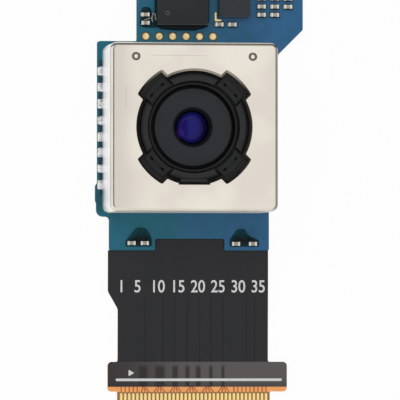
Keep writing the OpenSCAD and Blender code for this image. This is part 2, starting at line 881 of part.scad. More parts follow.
module arc_walls() {
    intersection() {
        union() {
            ring(arc_r, arc_in_r, [flange_top - arc_root, arc_top]);
            block([-lug_half_w, lug_half_w], [-tab_r, -arc_in_r],
                  [flange_top - arc_root, arc_top]);
        }
        difference() {
            disc(arc_r + 1, [flange_top - arc_root, arc_top]);
            for (a = [45:90:315]) rotate([0, 0, a])
                block([0, arc_r + 2], [-lug_half_w - lug_gap, lug_half_w + lug_gap],
                      [flange_top, can_top]);
        }
    }
}

module shift_magnet_space() {
    wall_pad(magnet_half_l, magnet_half_h, 0, [holder_half - shift_pocket_d, holder_half + 2]);
}

module shift_magnet(side) {
    color([0.55, 0.55, 0.57])
    on_wall(side)
        wall_pad(magnet_half_l, magnet_half_h, 0,
                 [holder_half - shift_pocket_d, holder_half - shift_pocket_d + magnet_t]);
}

module shift_magnet_x() { shift_magnet("x"); }
module shift_magnet_y() { shift_magnet("y"); }

// ---- Lens ----

function lens_top(i) = lens_z - i * lens_pitch;

module lens_barrel() {
    color([0.1, 0.1, 0.11])
    difference() {
        union() {
            disc(barrel_r, [barrel_bottom, barrel_top]);
            disc(thread_r, [holder_z, thread_top]);
        }
        translate([0, 0, barrel_top - funnel_h])
            cylinder(r1 = stop_r, r2 = aperture_r, h = funnel_h);
        disc(stop_r, [lens_z - EPS, barrel_top]);
        for (i = [0:LENSES - 1])
            disc(lens_r[i], [barrel_bottom - 1, i == 0 ? lens_z : lens_top(i) + spacer_t]);
    }
}

// Height of a lens surface over its rim, at a share q of the clear radius.
function sag(height, q) = height * (1 - q * q);

module lens(i) {
    steps = 8;
    clear = lens_r[i] * 0.72;
    front = [for (k = [0:steps]) [clear * k / steps, sag(front_sag[i], k / steps)]];
    back = [for (k = [steps:-1:0]) [clear * k / steps, sag(back_sag[i], k / steps) - rim_t]];
    color([0.3, 0.35, 0.6, 0.7])
    translate([0, 0, lens_top(i)])
        rotate_extrude() polygon([each front, [lens_r[i], 0], [lens_r[i], -rim_t], each back]);
}

module lens_1() { lens(0); }
module lens_2() { lens(1); }
module lens_3() { lens(2); }
module lens_4() { lens(3); }
module lens_5() { lens(4); }
module lens_6() { lens(5); }

module lens_spacers() {
    color([0.08, 0.08, 0.08])
    for (i = [1:LENSES - 1])
        ring(lens_r[i], lens_r[i - 1] * 0.8, [lens_top(i), lens_top(i) + spacer_t]);
}

module barrel_retainer() {
    last = LENSES - 1;
    color([0.08, 0.08, 0.08])
        ring(lens_r[last], lens_r[last] * 0.8, [barrel_bottom, lens_top(last) - rim_t]);
}

// ---- Shield can ----

// Half of the can's section: upright wall with a rounded shoulder.
module shoulder_profile(half, height, r) {
    union() {
        square([half, height - r]);
        square([half - r, height]);
        translate([half - r, height - r]) intersection() {
            circle(r = r);
            square([r, r]);
        }
    }
}

module full_profile(half, height, r) {
    union() {
        shoulder_profile(half, height, r);
        mirror([1, 0]) shoulder_profile(half, height, r);
    }
}

// A square block with rounded upright corners and a rounded upper edge.
module can_block(half, height, upright_r, edge_r) {
    straight = half - upright_r;
    union() {
        rotate([90, 0, 0]) linear_extrude(height = 2 * straight, center = true)
            full_profile(half, height, edge_r);
        rotate([90, 0, 90]) linear_extrude(height = 2 * straight, center = true)
            full_profile(half, height, edge_r);
        for (sx = [-1, 1]) for (sy = [-1, 1])
            translate([sx * straight, sy * straight, 0])
                rotate_extrude() shoulder_profile(upright_r, height, edge_r);
    }
}

module can_opening() {
    disc(opening_r, [board_top, can_top + 1]);
    intersection() {
        disc(notch_r, [board_top, can_top + 1]);
        for (a = [45, 135]) rotate([0, 0, a])
            block([-BIG, BIG], [-notch_w / 2, notch_w / 2], [board_top, can_top + 1]);
    }
    block([-tab_cut_half_w, tab_cut_half_w], [-tab_cut_r, 0], [board_top, can_top + 1]);
}

module shield_can() {
    mark_at = can_half - mark_inset;
    color([0.86, 0.83, 0.78])
    difference() {
        translate([0, 0, board_top])
            can_block(can_half, can_h, can_corner_r, can_edge_r);
        translate([0, 0, board_top - EPS])
            can_block(can_in, can_h - can_wall + EPS, can_corner_r - can_wall,
                      can_edge_r - can_wall);
        can_opening();
        block([-BIG, 0], [-joints_y - 0.6, joints_y + 0.6], [0, board_top + cut_up]);
        for (s = [-1, 1]) translate([s * mark_at, mark_at + 0.85, 0])
            ring(mark_d / 2, mark_d / 4, [can_top - mark_depth, can_top + 1]);
    }
}

back_plate();
rigid_board();
flex_base_film();
flex_top_coverlay();
flex_bottom_coverlay();
tail_contacts();
tail_stiffener();
large_chip();
large_chip_underfill();
small_chip();
capacitors_right();
capacitors_centre();
capacitors_left();
capacitors_in_left_mound();
capacitors_in_right_mound();
epoxy_left();
epoxy_mound_left();
epoxy_mound_right();
test_pads();
orientation_mark();
solder_joints();
sensor_base();
image_sensor();
ir_filter();
actuator_housing();
actuator_fpc();
focus_coil();
shift_coil_x();
shift_coil_y();
focus_hall_sensor();
shift_hall_sensor_x();
shift_hall_sensor_y();
focus_yoke();
shift_yoke_x();
shift_yoke_y();
focus_carrier();
focus_magnet();
focus_balls();
stopper_ring();
guide_frame();
x_balls();
y_balls();
lens_holder();
shift_magnet_x();
shift_magnet_y();
lens_barrel();
lens_1();
lens_2();
lens_3();
lens_4();
lens_5();
lens_6();
lens_spacers();
barrel_retainer();
shield_can();
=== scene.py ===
import math

import bmesh
import bpy
from mathutils import Matrix, Vector


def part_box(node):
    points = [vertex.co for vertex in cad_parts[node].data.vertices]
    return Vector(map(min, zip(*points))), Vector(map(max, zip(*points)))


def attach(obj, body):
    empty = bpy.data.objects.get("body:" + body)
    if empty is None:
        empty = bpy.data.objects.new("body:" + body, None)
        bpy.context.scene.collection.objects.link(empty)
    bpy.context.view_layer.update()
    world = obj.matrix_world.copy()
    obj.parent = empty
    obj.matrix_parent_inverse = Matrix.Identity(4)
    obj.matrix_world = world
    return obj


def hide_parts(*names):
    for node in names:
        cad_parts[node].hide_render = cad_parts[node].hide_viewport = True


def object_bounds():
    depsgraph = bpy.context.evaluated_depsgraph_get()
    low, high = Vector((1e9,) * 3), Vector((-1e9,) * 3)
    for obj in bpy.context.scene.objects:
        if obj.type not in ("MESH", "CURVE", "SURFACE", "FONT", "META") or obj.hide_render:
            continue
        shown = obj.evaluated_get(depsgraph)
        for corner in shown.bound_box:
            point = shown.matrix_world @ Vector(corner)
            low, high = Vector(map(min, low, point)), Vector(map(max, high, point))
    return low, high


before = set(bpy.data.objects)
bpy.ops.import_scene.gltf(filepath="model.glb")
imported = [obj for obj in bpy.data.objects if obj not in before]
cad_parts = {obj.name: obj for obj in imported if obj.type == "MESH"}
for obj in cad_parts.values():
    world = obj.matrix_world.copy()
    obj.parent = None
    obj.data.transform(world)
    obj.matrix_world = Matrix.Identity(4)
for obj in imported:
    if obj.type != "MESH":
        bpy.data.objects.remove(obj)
cad_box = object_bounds()


# ---- Rigid board ----
# Four-layer rigid part of a rigid-flex board: fibreglass and copper under a blue solder mask,
# routed to its stepped outline. The flex is laminated into its middle, so the lower edge shows
# three plies with the tail coming out between them.
def span(node):
    """Lowest and highest corner of a node, in millimetres."""
    return tuple([c * 1000 for c in corner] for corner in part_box(node))


def rounded(corners, steps=6):
    """A closed outline through corners given as (x, y, radius)."""
    points = []
    for i, (x, y, r) in enumerate(corners):
        if not r:
            points.append((x, y))
            continue
        here = Vector((x, y))
        before = (Vector(corners[i - 1][:2]) - here).normalized()
        after = (Vector(corners[(i + 1) % len(corners)][:2]) - here).normalized()
        half = before.angle(after) / 2
        centre = here + (before + after).normalized() * (r / math.sin(half))
        start = here + before * (r / math.tan(half)) - centre
        stop = here + after * (r / math.tan(half)) - centre
        first = math.atan2(start.y, start.x)
        sweep = (math.atan2(stop.y, stop.x) - first + math.pi) % (2 * math.pi) - math.pi
        for k in range(steps + 1):
            angle = first + sweep * k / steps
            points.append((centre.x + r * math.cos(angle), centre.y + r * math.sin(angle)))
    return points


def inset(loop, d):
    """The loop moved by d to its left, which is where the material is."""
    moved = []
    for before, here, after in zip(loop[-1:] + loop[:-1], loop, loop[1:] + loop[:1]):
        one = Vector((here[0] - before[0], here[1] - before[1])).normalized()
        two = Vector((after[0] - here[0], after[1] - here[1])).normalized()
        lean = Vector((-one.y - two.y, one.x + two.x)) / max(1 + one.dot(two), 0.2)
        moved.append((here[0] + d * lean.x, here[1] + d * lean.y))
    return moved


def turned(loop, way):
    """The loop running anticlockwise for way 1, or clockwise for way -1."""
    area = sum(a[0] * b[1] - b[0] * a[1] for a, b in zip(loop, loop[1:] + loop[:1]))
    return list(loop) if area * way > 0 else list(reversed(loop))


def vertices(mesh, loop, z):
    return [mesh.verts.new((x, y, z)) for x, y in loop]


def skin(mesh, rows, finish=0):
    """Joins each closed row of vertices to the next one by a band of faces."""
    for one, two in zip(rows, rows[1:]):
        for corners in zip(one, one[1:] + one[:1], two[1:] + two[:1], two):
            mesh.faces.new(corners).material_index = finish


def fill(mesh, rims, way, finish=0):
    """Closes the flat between some rims, facing up for way 1 or down for way -1."""
    edges = [mesh.edges.get(pair) or mesh.edges.new(pair)
             for rim in rims for pair in zip(rim, rim[1:] + rim[:1])]
    made = bmesh.ops.triangle_fill(mesh, edges=edges, use_beauty=True, normal=(0, 0, way))
    for part in made["geom"]:
        if isinstance(part, bmesh.types.BMFace):
            part.material_index = finish


def stack(mesh, loops, rings, finish=0):
    """Skins a closed body over its loops, one ring (inset, height) above the other."""
    walls = [[vertices(mesh, inset(loop, d), z) for d, z in rings] for loop in loops]
    for rows in walls:
        skin(mesh, rows, finish)
    for end, way in ((0, -1), (-1, 1)):
        rims = [rows[end] for rows in walls]
        if len(rims) == 1:
            mesh.faces.new(rims[0][::way]).material_index = finish
        else:
            fill(mesh, rims, way, finish)


def slab(mesh, outline, low, high, holes=(), edge=0.03, under=0.0, finish=0):
    """A plate cut to an outline, with its upper edge rounded over and its lower one broken."""
    rings = [(under, low), (0, low + under)] if under else [(0, low)]
    for k in range(4) if edge else (3,):
        angle = math.pi / 2 * k / 3
        rings.append((edge * (1 - math.cos(angle)), high - edge * (1 - math.sin(angle))))
    stack(mesh, [turned(outline, 1)] + [turned(hole, -1) for hole in holes], rings, finish)


def piece(name, mesh, *finishes, sharp=38):
    """An object from a mesh made in millimetres: smooth faces, crisp edges."""
    bmesh.ops.recalc_face_normals(mesh, faces=mesh.faces)
    bmesh.ops.scale(mesh, vec=(0.001, 0.001, 0.001), verts=mesh.verts)
    data = bpy.data.meshes.new(name)
    mesh.to_mesh(data)
    mesh.free()
    data.shade_smooth()
    data.set_sharp_from_angle(angle=math.radians(sharp))
    for finish in finishes:
        data.materials.append(finish)
    made = bpy.data.objects.new(name, data)
    bpy.context.scene.collection.objects.link(made)
    made.modifiers.new("even shading", "WEIGHTED_NORMAL").keep_sharp = True
    return made


class Wire:
    """A socket of a node tree. Sums and products of wires add the Math nodes they need."""

    def __init__(self, tree, socket=None):
        self.tree, self.socket = tree, socket

    def node(self, kind, settings=None, sockets=None, output=0):
        made = self.tree.nodes.new(kind)
        for name, value in (settings or {}).items():
            setattr(made, name, value)
        for name, value in (sockets or {}).items():
            if isinstance(value, Wire):
                self.tree.links.new(value.socket, made.inputs[name])
            else:
                made.inputs[name].default_value = value
        return Wire(self.tree, made.outputs[output])

    def maths(self, operation, *others):
        return self.node("ShaderNodeMath", {"operation": operation},
                         dict(enumerate((self, *others))))

    def __add__(self, other):
        return self.maths("ADD", other)

    def __sub__(self, other):
        return self.maths("SUBTRACT", other)

    def __rsub__(self, other):
        return self.maths("MULTIPLY_ADD", -1.0, other)

    def __mul__(self, other):
        return self.maths("MULTIPLY", other)

    def __lt__(self, other):
        return self.maths("LESS_THAN", other)

    def __gt__(self, other):
        return self.maths("GREATER_THAN", other)

    def __abs__(self):
        return self.maths("ABSOLUTE")

    __radd__, __rmul__ = __add__, __mul__


def linear(red, green, blue):
    """A colour given as it looks, from 0 to 255, in the values that shaders take."""
    return (*(c / 12.92 if c <= 0.04045 else ((c + 0.055) / 1.055) ** 2.4
              for c in (red / 255, green / 255, blue / 255)), 1.0)


def material(name, **constants):
    """A new material and the wire of its place in the object, in millimetres."""
    made = bpy.data.materials.new(name)
    made.use_nodes = True
    shader = made.node_tree.nodes["Principled BSDF"]
    for socket, value in constants.items():
        shader.inputs[socket.replace("_", " ")].default_value = value
    place = Wire(made.node_tree).node("ShaderNodeTexCoord", output="Object")
    return made, place.node("ShaderNodeVectorMath", {"operation": "SCALE"},
                            {0: place, "Scale": 1000.0})


def surface(made, **wires):
    """Feeds the material's surface shader."""
    shader = made.node_tree.nodes["Principled BSDF"]
    for socket, wire in wires.items():
        made.node_tree.links.new(wire.socket, shader.inputs[socket.replace("_", " ")])


def noise(at, scale, detail=2.0, roughness=0.5, distortion=0.0):
    return at.node("ShaderNodeTexNoise", {}, {
        "Vector": at, "Scale": scale, "Detail": detail, "Roughness": roughness,
        "Distortion": distortion})


def mix(factor, one, two):
    """From one colour to another. Each is a wire, or red, green and blue as they look."""
    one, two = (c if isinstance(c, Wire) else linear(*c) for c in (one, two))
    return factor.node("ShaderNodeMix", {"data_type": "RGBA"}, {0: factor, 6: one, 7: two}, 2)


def levels(wire, low, high, out_low=0.0, out_high=1.0):
    return wire.node("ShaderNodeMapRange", {"interpolation_type": "SMOOTHSTEP"},
                     {0: wire, 1: low, 2: high, 3: out_low, 4: out_high})


def within(wire, start, full, fade, end):
    """1 from full to fade, and 0 before start and after end."""
    return levels(wire, start, full) * levels(wire, end, fade)


def axes(at):
    """The three parts of a vector."""
    split = at.node("ShaderNodeSeparateXYZ", {}, {0: at}).socket.node
    return [Wire(at.tree, socket) for socket in split.outputs]


def facing(at):
    """The three parts of the surface's normal."""
    return axes(at.node("ShaderNodeNewGeometry", output="Normal"))


def bumps(height, distance):
    """Relief whose distance is in millimetres."""
    return height.node("ShaderNodeBump", {}, {"Height": height, "Distance": distance / 1000,
                                              "Strength": 1.0})


board_low, board_high = span("rigid_board")
can_low, can_high = span("shield_can")
can_half = can_high[0]
upper_left, upper_right, shoulder_y = -3.59, board_high[0], can_half + 0.31
board_left, board_right, diagonal_y = -can_half - 0.33, can_half + 0.05, can_half - 1.33
bulge_x, bulge_top, bulge_low, bulge_slope = board_left - 0.15, 2.0 - can_half, 0.9 - can_half, 0.2
lower_left, foot_x, foot_y = -5.64, board_left - 0.07, -can_half - 0.28
notch_left, notch_right, notch_depth = -2.24, 2.92, 0.86
notch_y = board_low[1] + notch_depth
tongue_y = notch_y + 1
slot_low, slot_high = 0.31, 0.49


def board_outline(low_edge):
    """The board's plan, closed along its lower side by the corners given."""
    return rounded([
        (upper_left, board_high[1], 0.3), (upper_left, shoulder_y, 0.12),
        (board_left, shoulder_y, 0.2), (board_left, bulge_top + bulge_slope, 0.12),
        (bulge_x, bulge_top, 0.12), (bulge_x, bulge_low, 0.12),
        (foot_x, bulge_low - bulge_slope, 0.12), (foot_x, foot_y, 0.5), (lower_left, foot_y, 0.28),
        *low_edge,
        (board_right, diagonal_y, 0), (upper_right, diagonal_y + upper_right - board_right, 0.2),
        (upper_right, board_high[1], 0.3)])


full_edge = [
    (lower_left, board_low[1], 0.12), (notch_left, board_low[1], 0.08),
    (notch_left, notch_y, 0.15), (notch_right, notch_y, 0.15),
    (notch_right, board_low[1], 0.08), (board_right, board_low[1], 0.12)]
short_edge = [(lower_left, tongue_y, 0), (board_right, tongue_y, 0)]
mesh = bmesh.new()
slab(mesh, board_outline(full_edge), board_low[2], slot_low, edge=0.0, under=0.02)
slab(mesh, board_outline(short_edge), slot_low, slot_high, edge=0.0)
slab(mesh, board_outline(full_edge), slot_high, board_high[2], edge=0.035)

mask, at = material("blue solder mask", Coat_Roughness=0.2, IOR=1.5, Specular_IOR_Level=0.25)
across, along, up = axes(at)
flat = levels(abs(facing(at)[2]), 0.55, 0.9)
cloud = noise(at, 1.1, 3.0)
blue = mix(levels(noise(at, 0.28) * 0.9 + across * 0.045, 0.2, 0.75),
           (12, 98, 120), (34, 92, 136))
blue = mix(levels(cloud, 0.35, 0.75, 0.0, 0.35), blue, (8, 80, 92))
# Painted shade on the ledge left of the can: dark teal, near black by the can's wall.
ledge = levels(across, -can_half + 0.1, -can_half - 0.02)
painted_ledge_shade = mix(levels(noise(at, 2.2, 3.0, 0.6), 0.4, 0.6), (16, 84, 84), (30, 70, 90))
painted_ledge_shade = mix(levels(across, board_left + 0.12, board_left + 0.22), painted_ledge_shade, (16, 30, 34))
blue = mix(ledge * within(along, -5.2, -4.8, 5.0, 5.3) * 0.7, blue, painted_ledge_shade)
blue = mix(ledge * within(along, -6.5, -5.9, -4.9, -4.6) * 0.55, blue, (8, 68, 70))
weave = at.node("ShaderNodeTexBrick", {"offset": 0.5}, {
    "Vector": at, "Scale": 3.6, "Mortar Size": 0.06, "Mortar Smooth": 1.0,
    "Color1": (0.45, 0.45, 0.45, 1), "Color2": (0.55, 0.55, 0.55, 1),
    "Mortar": (0.3, 0.3, 0.3, 1), "Brick Width": 0.5, "Row Height": 0.25})
plies = levels((up * 11.0).maths("FRACT"), 0.3, 0.7)
surface(mask, Base_Color=mix(flat, mix(plies, (44, 104, 120), (28, 76, 94)), blue),
        Roughness=0.34 + 0.12 * cloud + (1 - flat) * 0.3, Coat_Weight=flat * 0.12,
        Normal=bumps(noise(at, 2.4, 3.0) * 0.7 + weave * 0.3, 0.008))
board = piece("board", mesh, mask)
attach(board, "module")
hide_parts("rigid_board")


# ---- Flex tail ----
# One amber polyimide film with copper on it runs from the board's middle plies to the contacts.
# Black coverlay is laminated on it from both sides, and it sags from the board's height down to
# the table. A thicker amber stiffener is bonded under the ears and the contacts.
film_low, film_high = span("flex_base_film")
cover_end = span("flex_top_coverlay")[0][1]
tail_end = film_low[1]
exit_z, tail_z, film_t, cover_t = 0.35, 0.20, 0.10, 0.04
sag_start, sag_end = board_low[1] - 0.6, tail_end + 4.8
neck_step = sag_start - 2.44
ear_top, ear_low, ear_right = tail_end + 4.4, tail_end + 2.2, film_high[0]
flex_left, flex_right, neck_left = -5.73, 6.21, -4.99
contacts_x, tail_half = 0.67, 5.68
contact_low, contact_high = span("tail_contacts")


def film_z(y):
    """Height of the film's underside."""
    t = min(max((y - sag_end) / (sag_start - sag_end), 0), 1)
    return tail_z + (exit_z - tail_z) * t * t * (3 - 2 * t)


def flex_outline(top, low):
    """The flex's plan from y = top down to y = low."""
    left = [(neck_left, top, 0)] if top <= sag_end else [
        (lower_left + 0.03, top, 0), (lower_left + 0.03, board_low[1], 0),
        (flex_left, board_low[1], 0), (flex_left, neck_step, 0.6),
        (neck_left, neck_step - 1.3, 0.6)]
    right = [(flex_right, top, 0)]
    if low >= sag_end:
        return rounded(left + [(neck_left, low, 0), (flex_right, low, 0)] + right)
    left += [(neck_left, ear_top, 0.12), (flex_left, ear_top, 0.3)]
    right = [(ear_right, ear_top, 0.3), (flex_right, ear_top, 0.12)] + right
    if low > ear_low:
        return rounded(left + [(flex_left, low, 0), (ear_right, low, 0)] + right)
    tail_left, tail_right = contacts_x - tail_half, contacts_x + tail_half
    return rounded(left + [
        (flex_left, ear_low, 0.28), (tail_left, ear_low, 0.1), (tail_left, low, 0.15),
        (tail_right, low, 0.15), (tail_right, ear_low, 0.1), (ear_right, ear_low, 0.28)] + right)


def sagged(mesh, slices=40):
    """Bends a mesh, made over z = 0, down from the board's height to the tail's."""
    for k in range(slices + 1):
        y = sag_start + (sag_end - sag_start) * k / slices
        bmesh.ops.bisect_plane(mesh, geom=mesh.verts[:] + mesh.edges[:] + mesh.faces[:],
                               plane_co=(0, y, 0), plane_no=(0, 1, 0))
    for v in mesh.verts:
        v.co.z += film_z(v.co.y)


amber, at = material("amber polyimide", Coat_Weight=0.25, Coat_Roughness=0.2, IOR=1.6)
_, along, up = axes(at)
past_fingers = along - contact_high[1]
# Painted shade: olive between the fingers, and a thin dark line just above their upper ends.
between = levels(past_fingers, 0.02, -0.04) * levels(up, tail_z + 0.06, tail_z + 0.08)
between = between.maths("MAXIMUM", levels(abs(past_fingers - 0.02), 0.06, 0.02))
film_tone = mix(noise(at, 1.5, 3.0), (226, 134, 58), (250, 176, 92))
surface(amber, Base_Color=mix(between * 0.8, film_tone, (78, 58, 22)),
        Roughness=0.32 + 0.15 * noise(at, 9.0), Normal=bumps(noise(at, 5.0, 3.0), 0.006))

mesh = bmesh.new()
slab(mesh, flex_outline(tongue_y, tail_end), 0, film_t, edge=0.015)
sagged(mesh)
base_film = piece("base_film", mesh, amber)
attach(base_film, "module")
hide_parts("flex_base_film")

mesh = bmesh.new()
slab(mesh, flex_outline(sag_end, tail_end), 0, tail_z, edge=0.0, under=0.02)
stiffener = piece("stiffener", mesh, amber)
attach(stiffener, "module")
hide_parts("tail_stiffener")


# ---- Black coverlay ----
# Polyimide film with a black adhesive, pressed over the copper on both faces of the flex. On the
# neck the copper's edges show as faint lengthwise lines of painted shade, with a bump. Over the
# stiffened ears it is pressed flat, and a lighter grey is painted on as reflected light, darker
# to the left, with soft dark bars of painted shade where no copper lies under it.
neck_lines = (-2.98, -1.64, -0.79, 0.17, 1.10, 1.96, 2.84, 4.58, 5.21)
dark_bars = ((-3.10, 0.30), (-1.85, 0.34), (-0.72, 0.20), (0.20, 0.15), (1.00, 0.17),
             (1.95, 0.13), (2.85, 0.11))


def pulse(wire, centre, half):
    """1 within half of a centre, fading to 0 over as much again."""
    return levels(abs(wire - centre), half * 1.6, half * 0.5)


def stretched(at, x, y, z):
    return at.node("ShaderNodeVectorMath", {"operation": "MULTIPLY"}, {0: at, 1: (x, y, z)})


black_cover, at = material("black coverlay", IOR=1.45, Specular_IOR_Level=0.3)
across, along, _ = axes(at)
# Painted shade: dark lines along the copper's edges on the neck.
neck = sum(pulse(across, x, 0.07) for x in neck_lines)
neck = neck * within(along, ear_top - 0.1, ear_top + 0.1, -13.2, -11.6)
on_ear = levels(along, ear_top + 0.04, ear_top - 0.04)
# Painted shade: soft dark bars on the ears.
bars = sum(pulse(across, x, half) for x, half in dark_bars)
bars = bars * on_ear * levels(along, ear_top - 0.1, ear_top - 0.5)
soft = noise(stretched(at, 1.0, 0.15, 1.0), 1.2)
fine = noise(at, 22.0)
colour = mix(soft, (30, 32, 35), (38, 38, 41))
# Painted reflected light: the ears a lighter grey, darker to the left.
grey = mix(levels(across, flex_left, 1.0), (54, 48, 49), (86, 83, 82))
colour = mix(on_ear * levels(along, cover_end - 0.1, cover_end + 0.8, 0.5, 1.0), colour, grey)
colour = mix(neck * 0.5, colour, (18, 20, 22))
surface(black_cover, Base_Color=mix(bars * 0.75, colour, (30, 26, 26)),
        Roughness=0.42 + 0.12 * fine,
        Normal=bumps(fine * 0.25 + soft * 0.5 - neck * 0.6 - bars * 0.5, 0.01))

mesh = bmesh.new()
slab(mesh, flex_outline(tongue_y, cover_end), film_t, film_t + cover_t, edge=0.02)
sagged(mesh)
top_cover = piece("top_cover", mesh, black_cover)
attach(top_cover, "module")
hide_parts("flex_top_coverlay")

mesh = bmesh.new()
slab(mesh, flex_outline(tongue_y, sag_end), -cover_t, 0, edge=0.0, under=0.01)
sagged(mesh)
bottom_cover = piece("bottom_cover", mesh, black_cover)
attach(bottom_cover, "module")
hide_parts("flex_bottom_coverlay")


# ---- Contacts and their fan-out ----
# Thirty-seven copper fingers, plated with nickel and gold, left bare on the stiffened tongue. At
# their upper ends they narrow into traces that draw together and run in under the coverlay.
contact_pitch, contact_w, trace_w, last_contact = 0.3, 0.2, 0.07, 36
drawn_together, draw_share = range(5, 28), 0.4
contact_xs = [contacts_x + (i - last_contact / 2) * contact_pitch for i in range(last_contact + 1)]


def ribbon(points, width):
    """The outline of a strip of that width along some points."""
    sides = ([], [])
    for before, here, after in zip(points[:1] + points[:-1], points, points[1:] + points[-1:]):
        way = Vector((after[0] - before[0], after[1] - before[1])).normalized() * (width / 2)
        sides[0].append((here[0] - way.y, here[1] + way.x))
        sides[1].append((here[0] + way.y, here[1] - way.x))
    return sides[0] + sides[1][::-1]


gold, at = material("gold plate", Metallic=1.0)
worn = noise(stretched(at, 4.0, 0.8, 1.0), 2.0, 3.0)
surface(gold, Base_Color=mix(worn, (254, 212, 120), (255, 236, 172)),
        Roughness=0.24 + 0.2 * worn, Normal=bumps(noise(at, 12.0, 3.0), 0.004))

mesh = bmesh.new()
for x in contact_xs:
    left, right, taper_y = x - contact_w / 2, x + contact_w / 2, contact_high[1] - 0.12
    slab(mesh, rounded([
        (left, contact_low[1], 0.04), (right, contact_low[1], 0.04), (right, taper_y, 0.03),
        (x + 0.05, contact_high[1], 0.02), (x - 0.05, contact_high[1], 0.02),
        (left, taper_y, 0.03)], 3), contact_low[2] - 0.002, contact_high[2], edge=0.014)
fingers = piece("fingers", mesh, gold)
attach(fingers, "module")
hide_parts("tail_contacts")

under_film, at = material("copper under amber film", Metallic=0.6)
surface(under_film, Base_Color=mix(noise(at, 2.2), (136, 70, 36), (178, 104, 74)),
        Roughness=0.3 + 0.2 * noise(at, 10.0))
film_top = tail_z + film_t
mesh = bmesh.new()
for i, x in enumerate(contact_xs):
    group = contact_xs[min(4 * (i // 4) + 2, last_contact)] - contact_pitch / 2
    drawn = group + (x - group) * draw_share if i in drawn_together else x
    slab(mesh, ribbon([
        (x, contact_high[1] - 0.05), (x, contact_high[1] + 0.02), (drawn, cover_end - 0.08),
        (drawn, cover_end + 0.05)], trace_w), film_top - 0.002, film_top + 0.012, edge=0.006)
fan_out = piece("fan_out", mesh, under_film)
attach(fan_out, "module")


# ---- White print ----
# Screen-printed epoxy ink on the coverlay: the line up to which the tail goes into its connector,
# a triangle that points to the first contact, and plain contact numbers across the neck.
ink_t, figure_y, figure_size = 0.01, -12.05, 1.28
line_low, line_high = (-5.13, -18.625), (7.24, -18.435)
arrow = [(-4.18, -18.27, 0.03), (-3.76, -18.02, 0.03), (-4.18, -17.78, 0.03)]


def box_outline(low, high, r, steps=4):
    return rounded([(low[0], low[1], r), (high[0], low[1], r), (high[0], high[1], r),
                    (low[0], high[1], r)], steps)


def printed(mesh, words, x, y, size):
    """Figures centred on x with their feet on y, standing on the coverlay."""
    letters = bpy.data.curves.new("figures", "FONT")
    letters.body, letters.size, letters.align_x = words, size, "CENTER"
    letters.extrude, letters.offset = 0.006, 0.012
    holder = bpy.data.objects.new("figures", letters)
    bpy.context.scene.collection.objects.link(holder)
    figures = holder.to_mesh()
    figures.transform(Matrix.Translation((x, y, 0.002)) @ Matrix.Diagonal((0.86, 1, 1, 1)))
    mesh.from_mesh(figures)
    holder.to_mesh_clear()
    bpy.data.objects.remove(holder)


ink, at = material("white ink", IOR=1.45)
patchy = noise(at, 7.0, 3.0)
surface(ink, Base_Color=mix(patchy, (196, 197, 195), (220, 221, 219)),
        Roughness=0.5 + 0.2 * patchy, Normal=bumps(noise(at, 30.0), 0.004))
mesh = bmesh.new()
slab(mesh, box_outline(line_low, line_high, 0.05, 3), 0, ink_t, edge=0.005)
slab(mesh, rounded(arrow, 3), 0, ink_t, edge=0.005)
for number in (1, 5, 10, 15, 20, 25, 30, 35):
    printed(mesh, str(number), contact_xs[number - 1], figure_y, figure_size)
for v in mesh.verts:
    v.co.z += film_z(v.co.y) + film_t + cover_t
print_marks = piece("print_marks", mesh, ink)
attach(print_marks, "module")


# ---- Chips ----
# Two moulded packages soldered to the upper board. The mould leaves a fine grain on their faces
# and slightly rounded edges, and a ring ejector mark stands at the first corner of the large one.
chip_low, chip_high = span("large_chip")
small_low, small_high = span("small_chip")


def away(at, x=0.0, y=0.0):
    """Distance from an upright line."""
    return at.node("ShaderNodeVectorMath", {"operation": "DISTANCE"},
                   {0: stretched(at, 1, 1, 0), 1: (x, y, 0)}, "Value")


mould, at = material("moulded epoxy", IOR=1.5, Specular_IOR_Level=0.3)
grain = noise(at, 26.0, 2.0, 0.7)
ring = pulse(away(at, chip_low[0] + 0.74, chip_low[1] + 0.86), 0.13, 0.035)
on_small = levels(axes(at)[0], small_low[0] - 0.2, small_low[0] - 0.1)
shade = mix(noise(at, 0.7), (30, 32, 35), (41, 42, 45))
shade = mix(on_small * 0.45, shade, (62, 65, 69))
shade = mix(grain * 0.35, shade, (52, 54, 56))
# Painted highlight: a light line along the chips' lower edges.
painted_edge_highlight = within(facing(at)[1], -0.98, -0.85, -0.5, -0.2)
shade = mix(painted_edge_highlight * 0.8, shade, (104, 101, 100))
surface(mould, Base_Color=mix(ring * 0.6, shade, (96, 98, 100)),
        Roughness=0.62 + 0.14 * grain, Normal=bumps(grain * 0.4 - ring * 0.5, 0.014))
for size, low, high in (("large", chip_low, chip_high), ("small", small_low, small_high)):
    mesh = bmesh.new()
    slab(mesh, box_outline(low, high, 0.06), low[2] + 0.03, high[2], edge=0.05, under=0.02)
    slab(mesh, box_outline([c + 0.08 for c in low], [c - 0.08 for c in high], 0.04), low[2],
         low[2] + 0.05, edge=0.0)
    chip = piece("chip_" + size, mesh, mould)
    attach(chip, "module")
    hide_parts(size + "_chip")


